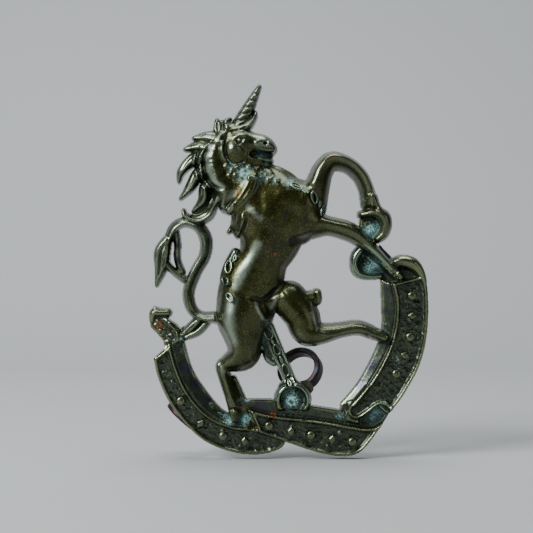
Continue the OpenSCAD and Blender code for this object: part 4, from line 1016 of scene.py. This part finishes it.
def patina(name, body, speck, worn_tone, wear, damp, soot_and_shade):
    """Old bronze: mottled olive skin with ochre specks, rubbed on its high places, stained in its hollows,
    darkened at painted shade spots as its hollows are, and streaked pale with part rubbed metal, part painted
    highlight.
    """
    p = Paint(name)
    hollow_and_shade, green, plum, copper, rub_and_highlight = (
        p.attribute(name) for name in ("hollow_and_shade", "green", "plum", "copper", "rub_and_highlight"))
    cloud, fine, dust = p.noise(0.35, 4), p.noise(4, 4, offset=3.0), p.noise(7, 2, offset=7.0)
    mottle = p.noise(1.3, 4, offset=11.0)
    base = p.mix(cloud.rising(0.35, 0.65), body, darker(body, 0.6))
    base = p.mix(mottle.rising(0.42, 0.62) * 0.7, base, darker(body, 0.35))
    flecks = dust.rising(0.57, 0.68) * (0.55 + cloud.rising(0.35, 0.65) * 0.4)
    base = p.mix(flecks, base, speck)
    rubbed = (hollow_and_shade * -1.0 + (fine - 0.5) * 0.5).rising(0.12, 0.6) * wear
    base = p.mix(rubbed.held(), base, worn_tone)
    # Pale streaks on the front faces: part rubbed metal, part painted highlight
    rub_and_highlight_share = (rub_and_highlight + (fine - 0.5) * 0.5).rising(0.1, 0.9)
    base = p.mix(rub_and_highlight_share * 0.5, base, rgb(150, 162, 150))
    # Soot in the hollows and painted shade at the painted shade spots, both darkening the skin towards near
    # black
    grime_and_shade = (hollow_and_shade + (fine - 0.5) * 0.4).rising(0.1, 0.6)
    base = p.mix(grime_and_shade * soot_and_shade, base, rgb(12, 14, 8))
    plum_tone = p.mix(fine.rising(0.4, 0.6), rgb(52, 44, 62), rgb(34, 36, 52))
    base = p.mix((plum + (fine - 0.5) * 0.5).rising(0.25, 0.8) * 0.85, base, plum_tone)
    crust = (green + hollow_and_shade * 0.35 * damp + (fine - 0.5) * 1.3 + (dust - 0.5) * 0.9).rising(0.45, 0.95)
    green_tone = p.mix(dust.rising(0.35, 0.65), rgb(34, 70, 66), rgb(120, 160, 158))
    green_tone = p.mix(cloud.rising(0.4, 0.6), green_tone, rgb(34, 64, 62))
    pale = green.rising(0.7, 0.95) * fine.rising(0.42, 0.56)
    green_tone = p.mix(pale * 0.8, green_tone, rgb(150, 200, 198))
    base = p.mix(crust * 0.85, base, green_tone)
    bare = (copper + (fine - 0.5) * 0.6).rising(0.35, 0.7)
    base = p.mix(bare * 0.7, base, rgb(136, 72, 36))
    metallic = (0.86 - crust * 0.8 - grime_and_shade * 0.3 + rubbed * 0.14).held()
    roughness = 0.31 + crust * 0.4 + grime_and_shade * 0.2 + (fine - 0.5) * 0.22 - rubbed * 0.06 + rub_and_highlight_share * 0.1
    height = fine * 0.5 + dust * 0.35 + crust * 0.5 - p.cells(3.2).rising(0.0, 0.12) * -0.2
    wax = (0.5 - crust * 0.5 - grime_and_shade * 0.3).held()
    return p.finish(base, metallic, roughness.held(0.12, 0.9), height, 0.03, wax)


def copper_strip(name):
    """Bent copper strip gone brown-black, with a bluish bloom and fine copper-coloured flecks."""
    p = Paint(name)
    cloud, fine = p.noise(0.5, 4), p.noise(6, 3, offset=2.0)
    base = p.mix(cloud.rising(0.35, 0.65), rgb(48, 30, 27), rgb(22, 18, 22))
    bloom = p.noise(0.8, 3, offset=5.0).rising(0.52, 0.7)
    base = p.mix(bloom * 0.5, base, rgb(46, 50, 70))
    base = p.mix(fine.rising(0.62, 0.72) * 0.6, base, rgb(128, 84, 62))
    return p.finish(base, 0.85 - fine * 0.3, 0.3 + fine * 0.3, fine, 0.03)


def braze_metal(name):
    """Brass braze, dull and pitted."""
    p = Paint(name)
    cloud, fine = p.noise(0.9, 4), p.noise(7, 3, offset=4.0)
    base = p.mix(cloud.rising(0.4, 0.62), rgb(60, 58, 40), rgb(34, 34, 24))
    base = p.mix(fine.rising(0.58, 0.7) * 0.7, base, rgb(70, 104, 92))
    return p.finish(base, 0.8 - fine * 0.4, 0.4 + fine * 0.3, fine, 0.05)


# ---- Making the badge ----

# The die's corners, its pitch and the seed of its grain
DIE_LOW, DIE_HIGH, PITCH, SEED = (-15.6, -25.2), (21.8, 23.6), 0.07, 11


def make_die():
    die = Die(DIE_LOW, DIE_HIGH, PITCH, SEED)
    sink_bands(die)
    sink_ring(die)
    sink_figure(die)
    carve(die)
    finish_relief(die)
    return die


SLOTS = {
    "dark_bronze": ("trunk", "near_foreleg", "far_foreleg", "near_hind_leg", "far_hind_leg"),
    "worn_bronze": ("head", "horn", "ears_and_forelock", "mane", "collar", "tail"),
    "scroll_bronze": ("scroll_left_fold", "scroll_left_end", "scroll_left", "scroll_centre", "scroll_right",
                      "scroll_right_fold", "left_ornaments", "centre_ornaments", "right_ornaments"),
    "verdigris_bronze": ("back_chain", "chest_chain", "hind_chain", "chain_ring", "scroll_lower_curl",
                         "scroll_right_curl"),
    "lug_copper": ("lug_left", "lug_right"),
    "braze": ("braze_left", "braze_right"),
}


# Each bronze: its skin, its specks, its worn tone, then how worn, how damp, and how dark its soot and painted
# shade go
BRONZES = {
    "dark_bronze": (rgb(56, 60, 16), rgb(120, 116, 38), rgb(112, 122, 96), 0.35, 1.0, 0.75),
    "worn_bronze": (rgb(54, 60, 26), rgb(106, 110, 50), rgb(128, 142, 122), 0.5, 1.0, 0.75),
    "scroll_bronze": (rgb(56, 66, 50), rgb(92, 104, 78), rgb(124, 130, 94), 0.7, 1.0, 0.35),
    "verdigris_bronze": (rgb(40, 52, 34), rgb(90, 108, 76), rgb(120, 138, 116), 1.0, 1.3, 0.75),
}


def complete(made, name, finish, material, slot_name):
    """Brings a piece to metres and gives it its finish, body and CAD node."""
    mesh = made.data
    mesh.transform(Matrix.Scale(MM, 4))
    mesh.shade_smooth()
    finish.paint(mesh)
    mesh.materials.clear()
    mesh.materials.append(material)
    made.name = mesh.name = name + ("_metal" if slot_name in ("lug_copper", "braze") else "_bronze")
    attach(made, "root")
    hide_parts(name)


def join(made, other):
    """Adds another object's mesh to a piece."""
    bm = bmesh.new()
    bm.from_mesh(made.data)
    bm.from_mesh(other.data)
    bm.to_mesh(made.data)
    bm.free()
    bpy.data.objects.remove(other)


def make_badge():
    die = make_die()
    finish = Finish(die)
    struck = Strike(die)
    made = {name: struck.part(name) for name in PARTING}
    join(made["back_chain"], chain(die, "back_links", BACK_LINKS))
    join(made["hind_chain"], chain(die, "hind_links", HIND_LINKS))
    made["chest_chain"] = chain(die, "chest_links", CHEST_LINKS)
    made["left_ornaments"] = ornaments("left", LEFT_OUTER, LEFT_INNER, (0.3, 0.42, 0.54, 0.66))
    made["centre_ornaments"] = ornaments("centre", CENTRE_TOP, CENTRE_FOOT, (0.1, 0.19, 0.27, 0.36, 0.48))
    made["right_ornaments"] = ornaments("right", RIGHT_OUTER, RIGHT_INNER, (0.18, 0.32, 0.46, 0.6, 0.74))
    made["lug_left"] = lug("lug_left", *LEFT_LUG, seed=3)
    made["lug_right"] = lug("lug_right", *RIGHT_LUG, seed=5)
    made["braze_left"] = braze("braze_left", -9.25, -18.8, 0.7, 1.2, seed=8)
    made["braze_right"] = braze("braze_right", 5.1, -15.7, 0.7, 1.2, seed=9)
    materials = {name: patina(name, *values) for name, values in BRONZES.items()}
    materials.update({
        "lug_copper": copper_strip("lug_copper"),
        "braze": braze_metal("braze"),
    })
    for slot_name, names in SLOTS.items():
        for name in names:
            complete(made[name], name, finish, materials[slot_name], slot_name)


make_badge()

# ---- Floor, backdrop and light ----

FLOOR_Z = -24.4
# The sweep: its front edge, half its width, where it starts to curve, the curve's radius, and its top
SWEEP_FRONT, SWEEP_HALF, SWEEP_BEND, SWEEP_R, SWEEP_TOP = -1500, 1500, 150, 120, 2500
LIGHT_COLOUR = (0.93, 0.98, 1.0)


def plain(name, colour, roughness):
    material = bpy.data.materials.new(name)
    material.use_nodes = True
    shader = material.node_tree.nodes["Principled BSDF"]
    shader.inputs["Base Color"].default_value = colour
    shader.inputs["Roughness"].default_value = roughness
    return material


def sweep():
    """A pale floor that curves up behind."""
    bm = bmesh.new()
    edge = bm.edges.new([bm.verts.new((x, SWEEP_FRONT, FLOOR_Z)) for x in (-SWEEP_HALF, SWEEP_HALF)])
    line = [(SWEEP_BEND, FLOOR_Z)]
    line += [(SWEEP_BEND + SWEEP_R * math.sin(a), FLOOR_Z + SWEEP_R * (1 - math.cos(a)))
             for a in np.linspace(0.1, math.pi / 2, 12)]
    line.append((SWEEP_BEND + SWEEP_R, SWEEP_TOP))
    for y, z in line:
        out = bmesh.ops.extrude_edge_only(bm, edges=[edge])["geom"]
        verts = [v for v in out if isinstance(v, bmesh.types.BMVert)]
        for v in verts:
            v.co.y, v.co.z = y, z
        edge = next(e for e in out if isinstance(e, bmesh.types.BMEdge) and all(v in verts for v in e.verts))
    floor = to_object(bm, "floor")
    floor.data.transform(Matrix.Scale(MM, 4))
    floor.data.shade_smooth()
    floor.data.materials.append(plain("pale_floor", (0.3, 0.3, 0.3, 1), 0.8))


def area_light(name, place, aim, size, power):
    data = bpy.data.lights.new(name, "AREA")
    data.shape, data.size, data.energy, data.color = "SQUARE", size * MM, power, LIGHT_COLOUR
    light = bpy.data.objects.new(name, data)
    bpy.context.scene.collection.objects.link(light)
    light.location = Vector(place) * MM
    light.rotation_euler = (Vector(aim) - Vector(place)).to_track_quat("-Z", "Y").to_euler()


def light_stage():
    """A key light high on the left, a weak fill on the right, and a glow on the backdrop."""
    area_light("key", (-240, -200, 215), (0, 0, 0), 170, 2.9)
    area_light("fill", (300, -260, 60), (0, 0, 0), 200, 0.16)
    area_light("back_glow", (0, 60, 380), (0, 260, 60), 300, 2.2)
    world = bpy.data.worlds.new("room")
    world.use_nodes = True
    air = world.node_tree.nodes["Background"]
    air.inputs["Color"].default_value, air.inputs["Strength"].default_value = (0.9, 0.95, 1.0, 1), 0.05
    bpy.context.scene.world = world


sweep()
light_stage()
